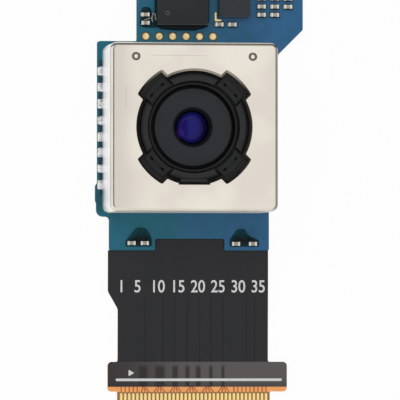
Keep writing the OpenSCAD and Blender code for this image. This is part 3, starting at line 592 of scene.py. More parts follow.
# ---- Black epoxy ----
# Liquid epoxy dispensed after soldering and cured: underfill that creeps out round the large
# chip's foot, a smear round the left capacitors with light grey streaks standing on it, and two
# domed drops over the pairs of capacitors by the lower edge, which only their lower sides show.
deck = board_high[2]
fill_low, fill_high = span("large_chip_underfill")
smear_low, smear_high = span("epoxy_left")
creep = [(0, 0), (0.012, 0.03), (0.04, 0.07), (0.075, 0.12), (0.1, 0.19), (0.12, 0.2)]
smear_dome = [(1, 0), (0.97, 0.06), (0.85, 0.13), (0.6, 0.17), (0.3, 0.18)]
low_dome = [(1, 0), (0.9, 0.03), (0.6, 0.06), (0.2, 0.07)]
drop_dome = [(1, 0), (0.98, 0.05), (0.92, 0.1), (0.78, 0.15), (0.6, 0.19), (0.46, 0.27),
             (0.3, 0.35), (0.12, 0.39)]
low_smear = [(-3.45, 7.62, 0.15), (-2.95, 7.5, 0.2), (-2.2, 7.5, 0.2), (-1.98, 7.6, 0.1),
             (-1.98, 8.35, 0.1), (-2.3, 8.4, 0.15), (-2.65, 8.2, 0.1), (-3.3, 8.2, 0.1)]
light_streaks = [
    [(-2.31, 8.56), (-2.22, 8.56), (-2.2, 8.2), (-1.97, 8.1), (-1.99, 8.02), (-2.26, 8.08)],
    [(-2.42, 8.62), (-2.37, 8.62), (-2.47, 8.2), (-2.42, 7.94), (-2.5, 7.94), (-2.56, 8.2)],
    [(-3.1, 8.03), (-2.6, 8.19), (-2.58, 8.26), (-3.1, 8.09)]]


def mound(mesh, outline, crest, dome):
    """A drop of liquid: rings (share, height) of its outline that shrink towards its crest."""
    outline = turned(rounded(outline), 1)
    rings = [vertices(mesh, [(crest[0] + (x - crest[0]) * share, crest[1] + (y - crest[1]) * share)
                         for x, y in outline], deck + height) for share, height in dome]
    skin(mesh, rings)
    mesh.faces.new(rings[0][::-1])
    mesh.faces.new(rings[-1])


epoxy, at = material("cured black epoxy", Coat_Weight=0.02, Coat_Roughness=0.1, IOR=1.5,
                     Specular_IOR_Level=0.08)
_, along, up = axes(at)
flow = noise(at, 1.8)
# Teal near the board's surface, and a painted teal sheen on the drops' upper sides.
teal_low_and_sheen = levels(up, deck + 0.26, deck + 0.06) * 0.6 \
    + levels(along, -8.3, -7.55) * (along < 0) * 0.8
surface(epoxy, Base_Color=mix(teal_low_and_sheen, mix(flow, (6, 8, 10), (14, 20, 24)), (16, 62, 72)),
        Roughness=0.25 + 0.15 * flow, Normal=bumps(noise(at, 3.5), 0.02))
streak_finish, at = material("light grey streaks", Roughness=0.3)
surface(streak_finish, Base_Color=mix(noise(at, 3.0, 3.0), (92, 94, 92), (178, 182, 178)))

mesh = bmesh.new()
stack(mesh, [turned(rounded([
    (fill_low[0], fill_high[1], 0.1), (fill_low[0], chip_low[1] - 0.05, 0.2),
    (chip_low[0] + 0.35, fill_low[1] + 0.1, 0.3), (chip_low[0] + 1.4, fill_low[1], 0.5),
    (chip_high[0] - 0.9, fill_low[1], 0.4), (chip_high[0] + 0.02, chip_low[1] - 0.12, 0.2),
    (fill_high[0], chip_low[1] + 0.4, 0.2), (fill_high[0], fill_high[1], 0.1)]), 1)],
      [(back_off, deck + height) for back_off, height in creep])
underfill = piece("underfill", mesh, epoxy)
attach(underfill, "module")
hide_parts("large_chip_underfill")

mesh = bmesh.new()
mound(mesh, [
    (smear_low[0], smear_low[1], 0.2), (smear_high[0], smear_low[1] - 0.02, 0.2),
    (smear_high[0] + 0.22, smear_low[1] + 0.3, 0.15), (smear_high[0], smear_high[1], 0.3),
    (smear_low[0] + 0.1, smear_high[1], 0.25), (smear_low[0], 8.2, 0.2)], (-2.98, 8.2), smear_dome)
mound(mesh, low_smear, (-2.4, 7.95), low_dome)
for streak in light_streaks:
    slab(mesh, streak, deck + 0.02, deck + 0.2, edge=0.01, finish=1)
smear = piece("smear", mesh, epoxy, streak_finish)
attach(smear, "module")
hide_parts("epoxy_left")

low, high = span("epoxy_mound_left")
mesh = bmesh.new()
mound(mesh, [
    (low[0], low[1], 0.12), (high[0], low[1], 0.12), (high[0], -8.05, 0.35),
    (-2.92, high[1] - 0.08, 0.3), (-3.62, high[1] - 0.02, 0.4), (low[0], -8.28, 0.2)],
    (-3.3, -7.85), drop_dome)
drop_left = piece("drop_left", mesh, epoxy)
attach(drop_left, "module")
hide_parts("epoxy_mound_left")

low, high = span("epoxy_mound_right")
mesh = bmesh.new()
mound(mesh, [
    (low[0], low[1], 0.12), (high[0], low[1], 0.12), (high[0], -8.2, 0.2), (4.72, -7.85, 0.2),
    (4.42, high[1], 0.25), (3.86, high[1] - 0.04, 0.3), (low[0], -8.15, 0.25)],
    (4.15, -7.88), drop_dome)
drop_right = piece("drop_right", mesh, epoxy)
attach(drop_right, "module")
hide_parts("epoxy_mound_right")


# ---- Chip capacitors ----
# Ceramic blocks 0.6 mm long with fired and tinned end caps, each soldered down on two pads. The
# solder climbs the caps in a small fillet.
cap_l, cap_w, cap_step_x, cap_step_y = 0.6, 0.3, 0.99, 0.61


def around(x, y, half_x, half_y, r):
    return box_outline((x - half_x, y - half_y), (x + half_x, y + half_y), r)


def capacitor(mesh, x, y):
    """A dark outline plate under it, the ceramic body, and at each end its cap and a fillet of
    solder.
    """
    slab(mesh, around(x, y, 0.4, 0.22, 0.05), deck - 0.01, deck + 0.008, edge=0.004, finish=2)
    slab(mesh, around(x, y, 0.17, 0.135, 0.01), deck + 0.015, deck + cap_w - 0.015, edge=0.02,
         finish=1)
    for side in (-1, 1):
        slab(mesh, around(x + side * (cap_l / 2 - 0.08), y, 0.08, cap_w / 2, 0.03), deck + 0.01,
             deck + cap_w, edge=0.03, under=0.02)
        stack(mesh, [turned(around(x + side * (cap_l / 2 - 0.06), y, 0.12, 0.16, 0.03), 1)],
              [(0, deck), (0.01, deck + 0.03), (0.04, deck + 0.09), (0.05, deck + 0.1)])


tin, at = material("tinned end", Metallic=0.7)
grainy = noise(at, 14.0, 3.0)
surface(tin, Base_Color=mix(grainy, (214, 214, 208), (250, 248, 240)),
        Roughness=0.32 + 0.25 * grainy, Normal=bumps(grainy, 0.012))
ceramic, at = material("capacitor ceramic", IOR=1.6)
surface(ceramic, Base_Color=mix(noise(at, 6.0), (150, 142, 128), (184, 178, 164)),
        Roughness=0.4 + 0.1 * noise(at, 18.0), Normal=bumps(noise(at, 20.0), 0.004))
for name in ("right", "centre", "left", "in_left_mound", "in_right_mound"):
    low, high = span("capacitors_" + name)
    first = (low[0] + cap_l / 2, low[1] + cap_w / 2)
    places = [first, (high[0] - cap_l / 2, first[1])]
    if name == "right":
        places = [(first[0] + cap_step_x * column, first[1] + cap_step_y * row)
                  for row in range(3) for column in range(3 if row else 2)]
    elif name == "left":
        places = [first, (first[0], high[1] - cap_w / 2)]
    mesh = bmesh.new()
    for place in places:
        capacitor(mesh, *place)
    chips = piece("chip_caps_" + name, mesh, tin, ceramic, epoxy)
    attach(chips, "module")
    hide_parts("capacitors_" + name)


# ---- Test pads and corner mark ----
# Copper left open in the solder mask and plated with gold: six round pads for the tester's pins,
# and an L that marks the small chip's first corner. A dark line of bare laminate runs round them.
pads_low, pads_high = span("test_pads")
mark_low, mark_high = span("orientation_mark")
pad_r, pad_y = (pads_high[1] - pads_low[1]) / 2, (pads_high[1] + pads_low[1]) / 2
pad_x, pad_pitch, mark_w = pads_low[0] + pad_r, 1.0, 0.16


def circle(x, y, r, steps=32):
    return [(x + r * math.cos(2 * math.pi * k / steps), y + r * math.sin(2 * math.pi * k / steps))
            for k in range(steps)]


pad_gold, at = material("gold pad", Metallic=0.8)
across, along, _ = axes(at)
dull = noise(at, 3.0, 4.0)
# Painted highlight: each round pad is lighter towards its middle, patchily.
in_row = along < pad_y + 0.4
beside = (across - (pad_x - pad_pitch / 2)).maths("FRACT") - 0.5
above = along - pad_y
painted_pad_highlight = levels(in_row * (beside * beside + above * above), 0.068, 0.02)
painted_pad_highlight = painted_pad_highlight * (0.35 + 0.65 * levels(dull, 0.3, 0.65))
surface(pad_gold, Base_Color=mix(painted_pad_highlight, (200, 158, 98), (250, 230, 178)),
        Roughness=0.26 + 0.15 * dull, Normal=bumps(noise(at, 9.0, 3.0), 0.008))
bare, at = material("bare laminate", IOR=1.5)
surface(bare, Base_Color=mix(noise(at, 8.0), (22, 34, 40), (38, 48, 50)),
        Roughness=0.5 + 0.2 * noise(at, 20.0))
mesh = bmesh.new()
for i in range(6):
    x = pad_x + pad_pitch * i
    slab(mesh, circle(x, pad_y, pad_r - 0.01), deck, deck + 0.03, edge=0.015)
    slab(mesh, circle(x, pad_y, pad_r + 0.05), deck - 0.01, deck + 0.004, edge=0.002, finish=1)
pads = piece("pads", mesh, pad_gold, bare)
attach(pads, "module")
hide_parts("test_pads")
mark = turned(rounded([
    (mark_low[0], mark_low[1], 0.03), (mark_high[0], mark_low[1], 0.03),
    (mark_high[0], mark_low[1] + mark_w, 0.03), (mark_low[0] + mark_w, mark_low[1] + mark_w, 0.02),
    (mark_low[0] + mark_w, mark_high[1], 0.03), (mark_low[0], mark_high[1], 0.03)], 3), 1)
mesh = bmesh.new()
slab(mesh, mark, deck, deck + 0.03, edge=0.012)
slab(mesh, inset(mark, -0.035), deck - 0.01, deck + 0.004, edge=0.002, finish=1)
corner_mark = piece("corner_mark", mesh, pad_gold, bare)
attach(corner_mark, "module")
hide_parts("orientation_mark")


# ---- Sensor, filter and moulded base ----
# The image sensor is bonded to the board inside a black moulded frame, which carries the infrared
# filter over it. The can covers all of it, so the parts keep their shapes and get their finishes.
die_x, die_y, crown_z = 2.9, 2.3, 5.79


def finish_nodes(made, *nodes):
    """Gives parts that keep their own shape a finish."""
    for node in nodes:
        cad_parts[node].data.materials.clear()
        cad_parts[node].data.materials.append(made)


moulded, at = material("black glass-filled moulding", IOR=1.5, Specular_IOR_Level=0.3)
swirl = noise(at, 2.2, 4.0, 0.55, 0.6)
spark = noise(at, 24.0, 2.0, 0.7)
# Painted light: everything above the crown's height takes a lighter grey, as on lit tops.
crown = levels(axes(at)[2], crown_z - 0.005, crown_z + 0.005)
surface(moulded, Base_Color=mix(crown, mix(swirl, (14, 16, 16), (25, 27, 27)),
                                mix(swirl, (27, 29, 28), (37, 38, 37))),
        Roughness=0.46 + 0.16 * spark, Normal=bumps(spark * 0.5 + swirl * 0.5, 0.01))
finish_nodes(moulded, "sensor_base", "actuator_housing", "focus_carrier", "guide_frame")

silicon, at = material("silicon die", IOR=2.6, Coat_Weight=0.3, Coat_Roughness=0.05)
across, along, _ = axes(at)
active = (abs(across) < die_x) * (abs(along) < die_y)
lattice = at.node("ShaderNodeTexChecker", {}, {"Vector": at, "Scale": 40.0}, "Fac")
surface(silicon, Base_Color=mix(active, (120, 112, 96), (52, 72, 62)),
        Roughness=0.12 + 0.1 * lattice * active)
finish_nodes(silicon, "image_sensor")

filter_glass, at = material("coated filter glass", IOR=1.52, Transmission_Weight=0.85)
surface(filter_glass, Base_Color=mix(noise(at, 0.6), (150, 196, 214), (176, 208, 226)),
        Roughness=0.02 + 0.03 * noise(at, 6.0))
finish_nodes(filter_glass, "ir_filter")


# ---- Focus and shift drives ----
# Bonded wire coils on a flexible circuit stand in the housing's windows, a Hall sensor in each, a
# soft steel yoke behind. They face nickel-plated magnets in the carriages, which run on ceramic
# balls. All of it lies under the can.
turn_angle = 78.0  # radians a millimetre, which is a wire every 0.08 mm
wire, at = material("enamelled copper wire", Metallic=0.9)
wound = (axes(at)[2] * turn_angle).maths("SINE")
surface(wire, Base_Color=mix(noise(at, 3.0), (176, 98, 52), (206, 128, 74)),
        Roughness=0.28 + 0.12 * noise(at, 16.0), Normal=bumps(wound, 0.01))
finish_nodes(wire, "focus_coil", "shift_coil_x", "shift_coil_y")
finish_nodes(amber, "actuator_fpc")
finish_nodes(mould, "focus_hall_sensor", "shift_hall_sensor_x", "shift_hall_sensor_y")

rolled, at = material("cold-rolled steel", Metallic=1.0)
brushed = noise(stretched(at, 0.6, 14.0, 14.0), 2.0, 4.0)
surface(rolled, Base_Color=mix(brushed, (178, 180, 180), (206, 207, 206)),
        Roughness=0.32 + 0.16 * brushed, Normal=bumps(brushed, 0.004))
finish_nodes(rolled, "focus_yoke", "shift_yoke_x", "shift_yoke_y")

nickel, at = material("nickel plate", Metallic=1.0)
surface(nickel, Base_Color=mix(noise(at, 2.0), (196, 192, 184), (212, 208, 200)),
        Roughness=0.2 + 0.15 * noise(at, 9.0, 3.0), Normal=bumps(noise(at, 14.0), 0.004))
finish_nodes(nickel, "focus_magnet", "shift_magnet_x", "shift_magnet_y")

white_ball, at = material("polished ceramic", Coat_Weight=0.4, Coat_Roughness=0.03, IOR=2.1)
surface(white_ball, Base_Color=mix(noise(at, 3.0), (226, 226, 222), (236, 236, 233)),
        Roughness=0.1 + 0.05 * noise(at, 12.0))
finish_nodes(white_ball, "focus_balls", "x_balls", "y_balls")


# ---- Stopper ring ----
# Moulded plate clipped over the focus carrier. Its four lugs stand up between the holder's arc
# walls, each with a step down at its outer half and sunk corners where the mould's cores met.
stop_low, stop_high = span("stopper_ring")
lug_low, lug_top, plate_half, plate_t = stop_low[2], stop_high[2], stop_high[0], 0.25
lug_half, lug_gap, plate_r, spokes = 1.0, 0.16, 4.10, (45, 135, 225, 315)
arc_in, groove_in, groove_out, lug_out, heel_out = 3.47, 3.80, 3.93, 4.32, 4.47
hook_half, clip_half, clip_turn, joined = 0.42, 0.15, 12.5, 0.03


def polar(r, degrees):
    return (r * math.cos(math.radians(degrees)), r * math.sin(math.radians(degrees)))


def arc(r, first, last, steps, corner=0.0):
    """Corners along an arc, in degrees, of which the two ends are rounded."""
    return [(*polar(r, first + (last - first) * k / steps), corner if k in (0, steps) else 0)
            for k in range(steps + 1)]


def half_turn(half, r):
    """The angle at which a line at half from a spoke meets the radius."""
    return math.degrees(math.asin(half / r))


def sector(inner, outer, half, centre):
    """A plan between two radii, bounded by straight sides at +-half from a spoke."""
    a_in, a_out = half_turn(half, inner), half_turn(half, outer)
    return rounded(arc(outer, centre - a_out, centre + a_out, 8, 0.05)
                   + arc(inner, centre + a_in, centre - a_in, 8, 0.05), 3)


mesh = bmesh.new()
slab(mesh, box_outline((-plate_half, -plate_half), (plate_half, plate_half), 0.3), lug_low,
     lug_low + plate_t, holes=[circle(0, 0, plate_r, 96)])
for spoke in spokes:
    for inner, outer, half, turn, sunk, edge in (
            (arc_in, groove_in, lug_half, 0, 0, 0.02),
            (groove_out, lug_out, lug_half, 0, 0.01, 0.03),
            (groove_in - joined, groove_out + joined, hook_half, 0, 0.06, 0.0),
            (groove_in - joined, groove_out + joined, clip_half, -clip_turn, 0.03, 0.0),
            (groove_in - joined, groove_out + joined, clip_half, clip_turn, 0.03, 0.0),
            (lug_out - 0.02, heel_out, lug_half, 0, 0.2, 0.03)):
        slab(mesh, sector(inner, outer, half, spoke + turn), lug_low, lug_top - sunk, edge=edge)
stopper = piece("stopper", mesh, moulded)
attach(stopper, "focus_unit")
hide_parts("stopper_ring")


# ---- Lens holder ----
# The moving holder, moulded in glass-filled polymer: a square carriage with pockets for two
# magnets, a threaded bore for the barrel with a thin rim, and four arc walls. The lowest arc has a
# flat tab for the machine that screws the barrel in.
hold_low, hold_high = span("lens_holder")
flange_top, rim_top, arc_top = 5.30, 5.50, hold_high[2]
foot_top, pocket_top = hold_low[2] + 0.45, span("shift_magnet_x")[1][2] + 0.02
foot_half, foot_corner, body_half, body_corner = hold_high[0], 3.80, 4.25, 3.55
pocket_half, pocket_depth = 2.4, 0.35
thread_r, rim_r, arc_near, arc_step, arc_out, tab_out = 3.11, 3.31, 3.39, 3.79, 3.90, 4.07


def carriage(half, corner, pockets=False):
    """A square with its corners cut back, and pockets in its left and lower sides if wanted."""
    deep = pocket_depth - half
    left = [(-half, pocket_half, 0), (deep, pocket_half, 0), (deep, -pocket_half, 0),
            (-half, -pocket_half, 0)] if pockets else []
    low = [(y, x, r) for x, y, r in reversed(left)]
    return rounded([
        (-half, corner, 0.15), *left, (-half, -corner, 0.15), (-corner, -corner, 0.12),
        (-corner, -half, 0.15), *low, (corner, -half, 0.15), (corner, -corner, 0.12),
        (half, -corner, 0.15), (half, corner, 0.15), (corner, corner, 0.12),
        (corner, half, 0.15), (-corner, half, 0.15), (-corner, corner, 0.12)], 3)


def lathe(mesh, profile, turns=128):
    """A closed (radius, height) profile turned round the optical axis."""
    rings = [[mesh.verts.new((*polar(r, 360 * k / turns), z)) for r, z in profile]
             for k in range(turns)]
    skin(mesh, rings + rings[:1])
    bmesh.ops.remove_doubles(mesh, verts=[v for ring in rings for v in ring], dist=1e-5)


mesh = bmesh.new()
for plan, low, high in ((carriage(foot_half, foot_corner), hold_low[2], foot_top),
                        (carriage(body_half, body_corner, True), foot_top, pocket_top),
                        (carriage(body_half, body_corner), pocket_top, flange_top)):
    slab(mesh, plan, low, high, holes=[circle(0, 0, thread_r, 96)], edge=0.02)
wall_foot = flange_top - 0.02
lathe(mesh, rounded([(thread_r, wall_foot, 0), (rim_r, wall_foot, 0), (rim_r, rim_top, 0.05),
                     (thread_r + 0.04, rim_top, 0.03), (thread_r, rim_top - 0.05, 0)], 3))
for side in (0, 90, 180, 270):
    for near, far, crest in ((arc_near, arc_step, arc_top),
                             (arc_step - 0.02, arc_out, arc_top - 0.1)):
        in_half, out_half = (45 - half_turn(lug_half + lug_gap, r) for r in (near, far))
        slab(mesh, rounded(arc(far, side - out_half, side + out_half, 12, 0.03)
                           + arc(near, side + in_half, side - in_half, 12, 0.03), 3),
             wall_foot, crest, edge=0.02)
slab(mesh, rounded([(-lug_half, 0.1 - arc_out, 0), (-lug_half, -tab_out, 0.06),
                    (lug_half, -tab_out, 0.06), (lug_half, 0.1 - arc_out, 0)], 3),
     wall_foot, arc_top - 0.004, edge=0.04)
holder = piece("holder", mesh, moulded)
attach(holder, "lens_unit")
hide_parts("lens_holder")


# ---- Barrel and lenses ----
# Black polycarbonate barrel screwed into the holder, its matt spark-eroded face stepping down a
# bevel to the aperture. The barrel's black is painted near-black as shade on the bevel, in the
# aperture and below the face. Six moulded lenses are stacked in it from behind with black spacers
# between, and a ring holds them in. The front lens has a deep blue anti-reflection coating.
barrel_low, face_z, thread_top = span("lens_barrel")[0][2], span("lens_barrel")[1][2], 4.90
aperture, stop_r, barrel_r, lip_z = 1.45, 1.25, 2.85, face_z - 0.06
dome_h, lens_edge, dish_h = 0.35, 0.3, 0.1
lens_z = span("lens_1")[1][2] - dome_h
lens_r = [1.65, 1.70, 1.85, 2.10, 2.35, 2.50]
seats = [lens_z] + [lens_z - 0.42 * i + 0.12 for i in range(1, 6)]
clear_r = lens_r[0] * 0.72

barrel_black, at = material("matt black barrel", IOR=1.5, Specular_IOR_Level=0.3)
spark = noise(at, 30.0, 2.0, 0.7)
# Painted shade: near-black on the bevel, in the aperture and below the face; the face matt grey.
matt = levels(away(at), aperture - 0.08, aperture + 0.1) * (axes(at)[2] > face_z - 0.1)
face_tone = mix(noise(at, 0.9), (34, 37, 40), (39, 42, 46))
surface(barrel_black, Base_Color=mix(matt, (4, 4, 5), face_tone),
        Roughness=0.62 + 0.12 * spark, Normal=bumps(spark, 0.008))
finish_nodes(barrel_black, "lens_spacers", "barrel_retainer")

profile = [(stop_r, lens_z, 0)]
for r, z in zip(lens_r, seats):
    profile += [(profile[-1][0], z, 0), (r, z, 0)]
profile += [(lens_r[-1], barrel_low, 0), (barrel_r, barrel_low, 0), (barrel_r, hold_low[2], 0),
            (thread_r - 0.02, hold_low[2], 0)]
for k in range(8):
    z = hold_low[2] + (thread_top - hold_low[2]) * k / 8
    profile += [(thread_r - 0.02, z + 0.08, 0), (thread_r - 0.08, z + 0.14, 0)]
profile += [(thread_r - 0.02, thread_top - 0.02, 0), (thread_r - 0.05, thread_top, 0),
            (barrel_r, thread_top, 0.03), (barrel_r, face_z, 0.05),
            (aperture + 0.12, face_z, 0.06), (aperture, lip_z, 0.03)]
for k in range(1, 5):
    r, z = aperture - (aperture - stop_r) * k / 4, lip_z - 0.39 * k / 4
    profile += [(r + 0.01, z + 0.055, 0), (r, z, 0)]
mesh = bmesh.new()
lathe(mesh, rounded(profile[1:], 3))
barrel = piece("barrel", mesh, barrel_black)
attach(barrel, "lens_unit")
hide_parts("lens_barrel")

coated, at = material("blue coated lens", IOR=1.54, Specular_IOR_Level=0.1, Metallic=0.12)
across = axes(at)[0]
# Painted light: a lighter blue band down the middle, shade to the right and at the rim.
deep = mix(levels(abs(across + 0.05), 0.75, 0.05), (32, 22, 96), (26, 28, 106))
deep = mix(levels(across, 0.3, 0.95, 0.0, 0.75), deep, (10, 8, 44))
deep = mix(levels(away(at), 1.08, 1.17), deep, (4, 4, 8))
# Painted reflection: a purple patch at the lower left.
reflex = levels(away(at, -0.85, -0.45), 0.45, 0.1)
surface(coated, Base_Color=mix(reflex * 0.5, deep, (70, 44, 146)),
        Roughness=0.06 + 0.05 * noise(at, 3.0))
glass, at = material("moulded lens plastic", IOR=1.54, Transmission_Weight=0.9)
surface(glass, Base_Color=mix(noise(at, 0.8), (196, 206, 232), (214, 222, 240)),
        Roughness=0.02 + 0.02 * noise(at, 5.0))
finish_nodes(glass, "lens_2", "lens_3", "lens_4", "lens_5", "lens_6")

bow = [(clear_r * k / 20, 1 - (k / 20) ** 2) for k in range(21)]
mesh = bmesh.new()
lathe(mesh, [(r, lens_z + dome_h * rise) for r, rise in bow]
      + [(lens_r[0], lens_z), (lens_r[0], lens_z - lens_edge)]
      + [(r, lens_z - lens_edge + dish_h * rise) for r, rise in reversed(bow)], 96)
front_lens = piece("front_lens", mesh, coated)
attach(front_lens, "lens_unit")
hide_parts("lens_1")


# ---- Shield can ----
# Drawn and pierced from thin stainless sheet with a warm satin face: walls turned down over a
# small radius, a die-rolled edge round the opening, two coined locating rings, and a strip left
# out of the left wall over the soldered terminals.
wall, corner_r, edge_r, roll = 0.15, 0.55, 0.35, 0.03
can_top, can_foot = can_high[2], can_low[2]
opening_r, notch_r, notch_half = 4.27, 4.81, 1.27
cut_half, cut_up = 4.85, 0.2
coin_x, coin_y, coin_r = 4.30, 5.15, 0.30
tab_half, tab_cut = 1.15, 4.22


def opening():
    """The round opening with its four notches and the flat at its lower side."""
    a_near, a_far, a_tab = (half_turn(half, r) for half, r in (
        (notch_half, opening_r), (notch_half, notch_r), (tab_half, opening_r)))
    points = []
    for spoke in spokes:
        first, last = spoke + a_near, spoke + 90 - a_near
        points.append((*polar(opening_r, spoke - a_near), 0.09))
        points += arc(notch_r, spoke - a_far, spoke + a_far, 8, 0.12)
        points.append((*polar(opening_r, first), 0.09))
        if spoke == 225:
            points += arc(opening_r, first, 270 - a_tab, 3)[1:]
            points += [(-tab_half, -tab_cut, 0.04), (tab_half, -tab_cut, 0.04)]
            points += arc(opening_r, 270 + a_tab, last, 3)[:-1]
        else:
            points += arc(opening_r, first, last, 12)[1:-1]
    return turned(rounded(points, 4), -1)


def shell_plan(half, r):
    """A rounded square that also turns where the left wall's cut begins and ends."""
    turns = [(-half, y, 0) for y in (cut_half + 0.02, cut_half, -cut_half, -cut_half - 0.02)]
    return turned(rounded([(half, -half, r), (half, half, r), (-half, half, r), *turns,
                           (-half, -half, r)], 8), 1)


mesh = bmesh.new()
bend = [(1 - math.cos(math.pi / 2 * k / 8), 1 - math.sin(math.pi / 2 * k / 8)) for k in range(9)]
skins = []
for half, r, fold, roof in ((can_half, corner_r, edge_r, can_top),
                            (can_half - wall, corner_r - wall, edge_r - wall, can_top - wall)):
    plan = shell_plan(half, r)
    rows = [vertices(mesh, plan, can_foot), vertices(mesh, plan, can_foot + 0.7)]
    for v in rows[0]:
        v.co.z += cut_up if v.co.x < 1 - half and abs(v.co.y) < cut_half + 0.01 else 0
    rows += [vertices(mesh, inset(plan, fold * back_off), roof - fold * down)
             for back_off, down in bend + [(1 + 0.03 / fold, 0)]]
    skin(mesh, rows)
    skins.append(rows)
outside, inside = skins
skin(mesh, [outside[0], inside[0]])

cut = opening()
lips = [vertices(mesh, inset(cut, roll * back_off), can_top - roll * down)
        for back_off, down in ((1.4, 0), (1, 0), (0.5, 0.13), (0.13, 0.5), (0, 1))]
for out, z in ((0.15, can_top - wall + 0.02), (0.13, can_top - wall)):
    at_tab, elsewhere = inset(cut, -0.01), inset(cut, -out)
    lips.append(vertices(mesh, [near if abs(x) < tab_half + 0.01 and y < -3.9 else far
                            for (x, y), near, far in zip(cut, at_tab, elsewhere)], z))
skin(mesh, lips)
coins = []
for side in (-1, 1):
    rows = [vertices(mesh, circle(side * coin_x, coin_y, coin_r + out), can_top - depth)
            for out, depth in ((0.05, 0), (0.02, 0), (-0.02, 0.025), (-0.06, 0.05), (-0.09, 0.05),
                               (-0.13, 0.02), (-0.16, 0), (-0.20, 0))]
    skin(mesh, rows)
    mesh.faces.new(rows[-1])
    coins.append(rows[0])
fill(mesh, [outside[-1], lips[0], *coins], 1)
fill(mesh, [inside[-1], lips[-1]], -1)

can_steel, at = material("satin stainless sheet", Metallic=1.0)
across, along, up = axes(at)
lean_x, lean_y, upright = facing(at)
mottle = noise(at, 1.6, 3.0)
rub = noise(stretched(at, 0.5, 18.0, 1.0), 1.4, 3.0)
scratch = pulse(along + 0.008 * across, 5.2, 0.02) * within(across, -3.6, -2.8, 0.4, 1.6) \
    + pulse(across, -5.05, 0.02) * within(along, 1.2, 1.6, 2.8, 3.2)
# Painted shade in the coined rings' dents.
coined = (up < can_top - 0.006) * (up > can_top - 0.06) * within(along, 4.7, 4.8, 5.55, 5.65) \
    * levels(abs(across), 4.95, 4.85)
# Painted light: the walls are lighter than the face, the front wall lightest and less metallic.
side_wall, front_wall = levels(upright, 0.4, 0.1), levels(lean_y, -0.3, -0.7)
# Painted shade: dark lines on the folds, at the right, the far side, the left and the front.
fold = levels(lean_x, 0.3, 0.7) * 0.55 + within(lean_y, 0.22, 0.36, 0.74, 0.84) * 0.66 \
    + within(lean_x, -0.97, -0.9, -0.82, -0.72) * 0.3 + levels(lean_y, -0.1, -0.95) * 0.14
# The rolled lip round the opening is dark brown, painted lighter towards the top as light.
pierced = (up < can_top - 0.012) * (away(at) < notch_r + 0.1)
left_face = levels(across, -3.8, -5.7) * levels(upright, 0.9, 0.98)
warm = mix(levels(noise(at, 0.22), 0.35, 0.65), (222, 214, 204), (232, 226, 214))
warm = mix(left_face * 0.75, warm, (206, 200, 192))
warm = mix(side_wall, warm, mix(front_wall, (240, 240, 239), (252, 247, 238)))
warm = mix(fold * (1 - pierced) * (1 - side_wall), warm, (30, 28, 27))
warm = mix(pierced, warm, mix(levels(along, 2.6, 4.2), (44, 41, 38), (150, 142, 130)))
warm = mix(coined * 0.85, warm, (84, 78, 72))
surface(can_steel, Base_Color=mix(scratch * 0.35, warm, (150, 146, 138)),
        Metallic=1 - 0.7 * front_wall,
        Roughness=0.14 + 0.07 * mottle + 0.05 * rub + 0.12 * side_wall,
        Normal=bumps(mottle * 0.8 + rub * 0.2, 0.006))
shell = piece("shell", mesh, can_steel)
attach(shell, "module")
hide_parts("shield_can")


# ---- Soldered terminals ----
# Eight fillets of bright solder along the left ledge, put on by a hot nozzle after the can, which
# join the actuator's flexible circuit to the board. Each is a little fuller or more skewed than
# the next.
solder_low, solder_high = span("solder_joints")
joint_l, joint_pitch, reach = 0.7, 1.2, solder_low[0] - solder_high[0]
crest_h, pass_h = 0.4, 0.15

solder, at = material("bright solder", Metallic=0.75)
dross = noise(at, 5.5, 4.0, 0.65)
surface(solder, Base_Color=mix(levels(dross, 0.35, 0.6), (190, 190, 191), (252, 252, 252)),
        Roughness=0.2 + 0.3 * noise(at, 9.0), Normal=bumps(dross, 0.05))
mesh = bmesh.new()
for i in range(8):
    middle = solder_high[1] - joint_l / 2 - joint_pitch * i
    fullness = 0.92 + 0.08 * math.sin(7.3 * i + 2.1)
    rows = []
    for k in range(9):
        share = k / 4 - 1
        full = (1 - abs(share) ** 3) * fullness + 0.04
        at_wall = middle + share * joint_l / 2
        row = [mesh.verts.new((solder_high[0], at_wall, deck))]
        for j in range(10):
            out = max(j - 1, 0) / 8
            height = (pass_h * (1 - out ** 4) if j else crest_h) * full
            narrow = 0.86 + 0.1 * math.sin(2.3 * i + 4 * out)
            skew = 0.05 * math.sin(5.1 * i + 3 * out) if out else 0
            row.append(mesh.verts.new((
                solder_high[0] + reach * max(out, 0.02 * j),
                middle + share * joint_l / 2 * narrow + skew, deck + height)))
        rows.append(row)
    skin(mesh, rows)
    mesh.faces.new(rows[0])
    mesh.faces.new(rows[-1][::-1])
terminals = piece("terminals", mesh, solder, sharp=70)
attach(terminals, "module")
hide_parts("solder_joints")


# ---- Back plate ----
# Blanked stainless plate bonded under the camera. It stiffens the board, carries off heat, and is
# the face that the module is stuck down by.
plate_low, plate_high = span("back_plate")
blank, at = material("bare rolled plate", Metallic=1.0)
rolling = noise(stretched(at, 0.4, 12.0, 1.0), 2.0, 4.0)
surface(blank, Base_Color=mix(rolling, (182, 182, 180), (206, 206, 203)),
        Roughness=0.34 + 0.16 * rolling, Normal=bumps(rolling, 0.004))
mesh = bmesh.new()
slab(mesh, box_outline(plate_low, plate_high, 0.6), plate_low[2], plate_high[2], edge=0.0,
     under=0.03)
plate = piece("plate", mesh, blank)
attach(plate, "module")
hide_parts("back_plate")


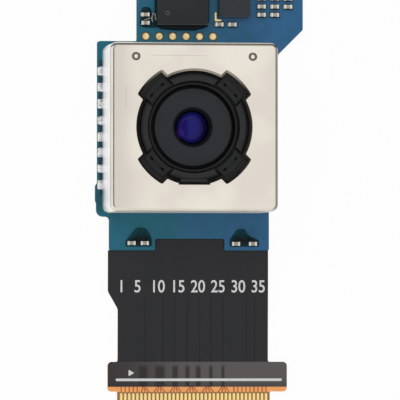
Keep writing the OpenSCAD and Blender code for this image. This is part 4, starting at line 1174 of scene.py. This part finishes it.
# ---- Table, light and camera ----
# A plain white table under the module, one large soft lamp, and a soft sky of light. The sky dims
# to the left, to the right and low on the far side, which the can's folds pick up as thin lines,
# deepened by dark lines painted on the folds.
table_half, table_t = 400, 2.0
chalk_low, chalk_high = (238.61,) * 3, (241.05,) * 3
floor_mat, at = material("white table", Roughness=0.9)
seen = at.node("ShaderNodeLightPath", output="Is Camera Ray")
for kind in ("Is Glossy Ray", "Is Transmission Ray"):
    seen = seen.maths("MAXIMUM", at.node("ShaderNodeLightPath", output=kind))
tree = floor_mat.node_tree
white = at.node("ShaderNodeEmission", {}, {"Color": (1, 1, 1, 1), "Strength": 1.0})
surface(floor_mat, Base_Color=mix(noise(at, 0.02), chalk_low, chalk_high))
chalk = Wire(tree, tree.nodes["Principled BSDF"].outputs[0])
both = at.node("ShaderNodeMixShader", {}, {0: seen * 0.94, 1: chalk, 2: white})
tree.links.new(both.socket, tree.nodes["Material Output"].inputs["Surface"])
mesh = bmesh.new()
slab(mesh, box_outline((-table_half, -table_half), (table_half, table_half), 20, 8), -table_t,
     cad_box[0].z * 1000 - 0.005, edge=0.5)
table = piece("table", mesh, floor_mat)

world = bpy.data.worlds.new("soft room")
world.use_nodes = True
bpy.context.scene.world = world
way = Wire(world.node_tree).node("ShaderNodeTexCoord", output="Generated")
east, north, up = axes(way)
dim = levels(east, -0.1, -0.3) * levels(up, 0.72, 0.84) * 0.85
for other in (levels(east, 0.25, 0.5) * levels(up, 0.9, 0.4),
              levels(north, 0.6, 0.78) * within(up, -0.02, 0.1, 0.42, 0.62)):
    dim = dim.maths("MAXIMUM", other * 0.6)
sky = way.node("ShaderNodeBackground", {}, {"Color": (1, 1, 1, 1), "Strength": 1.02 - dim})
world.node_tree.links.new(sky.socket, world.node_tree.nodes["World Output"].inputs["Surface"])

lamp = bpy.data.lights.new("soft lamp", "AREA")
lamp.size, lamp.energy = 0.25, 0.35
lamp_holder = bpy.data.objects.new("soft lamp", lamp)
lamp_holder.location = (-0.14, 0.20, 0.34)
lamp_holder.visible_glossy = False
lamp_holder.rotation_euler = (-lamp_holder.location).to_track_quat("-Z", "Y").to_euler()
bpy.context.scene.collection.objects.link(lamp_holder)

middle = Vector((1.10, -5.23, 0.65)) / 1000
towards = Vector((-0.1255, -0.022, 1)).normalized()
distance, view_width = 0.45, 0.0296
camera = bpy.data.cameras.new("camera")
camera.sensor_width = 36
camera.lens = camera.sensor_width * distance / view_width
camera.clip_start, camera.clip_end = 0.01, 10
stand = bpy.data.objects.new("camera", camera)
stand.location = middle + towards * distance
right = Vector((0, 1, 0)).cross(towards).normalized()
stand.rotation_euler = Matrix((right, towards.cross(right), towards)).transposed().to_euler()
bpy.context.scene.collection.objects.link(stand)
bpy.context.scene.camera = stand
bpy.context.scene.view_settings.view_transform = "Standard"
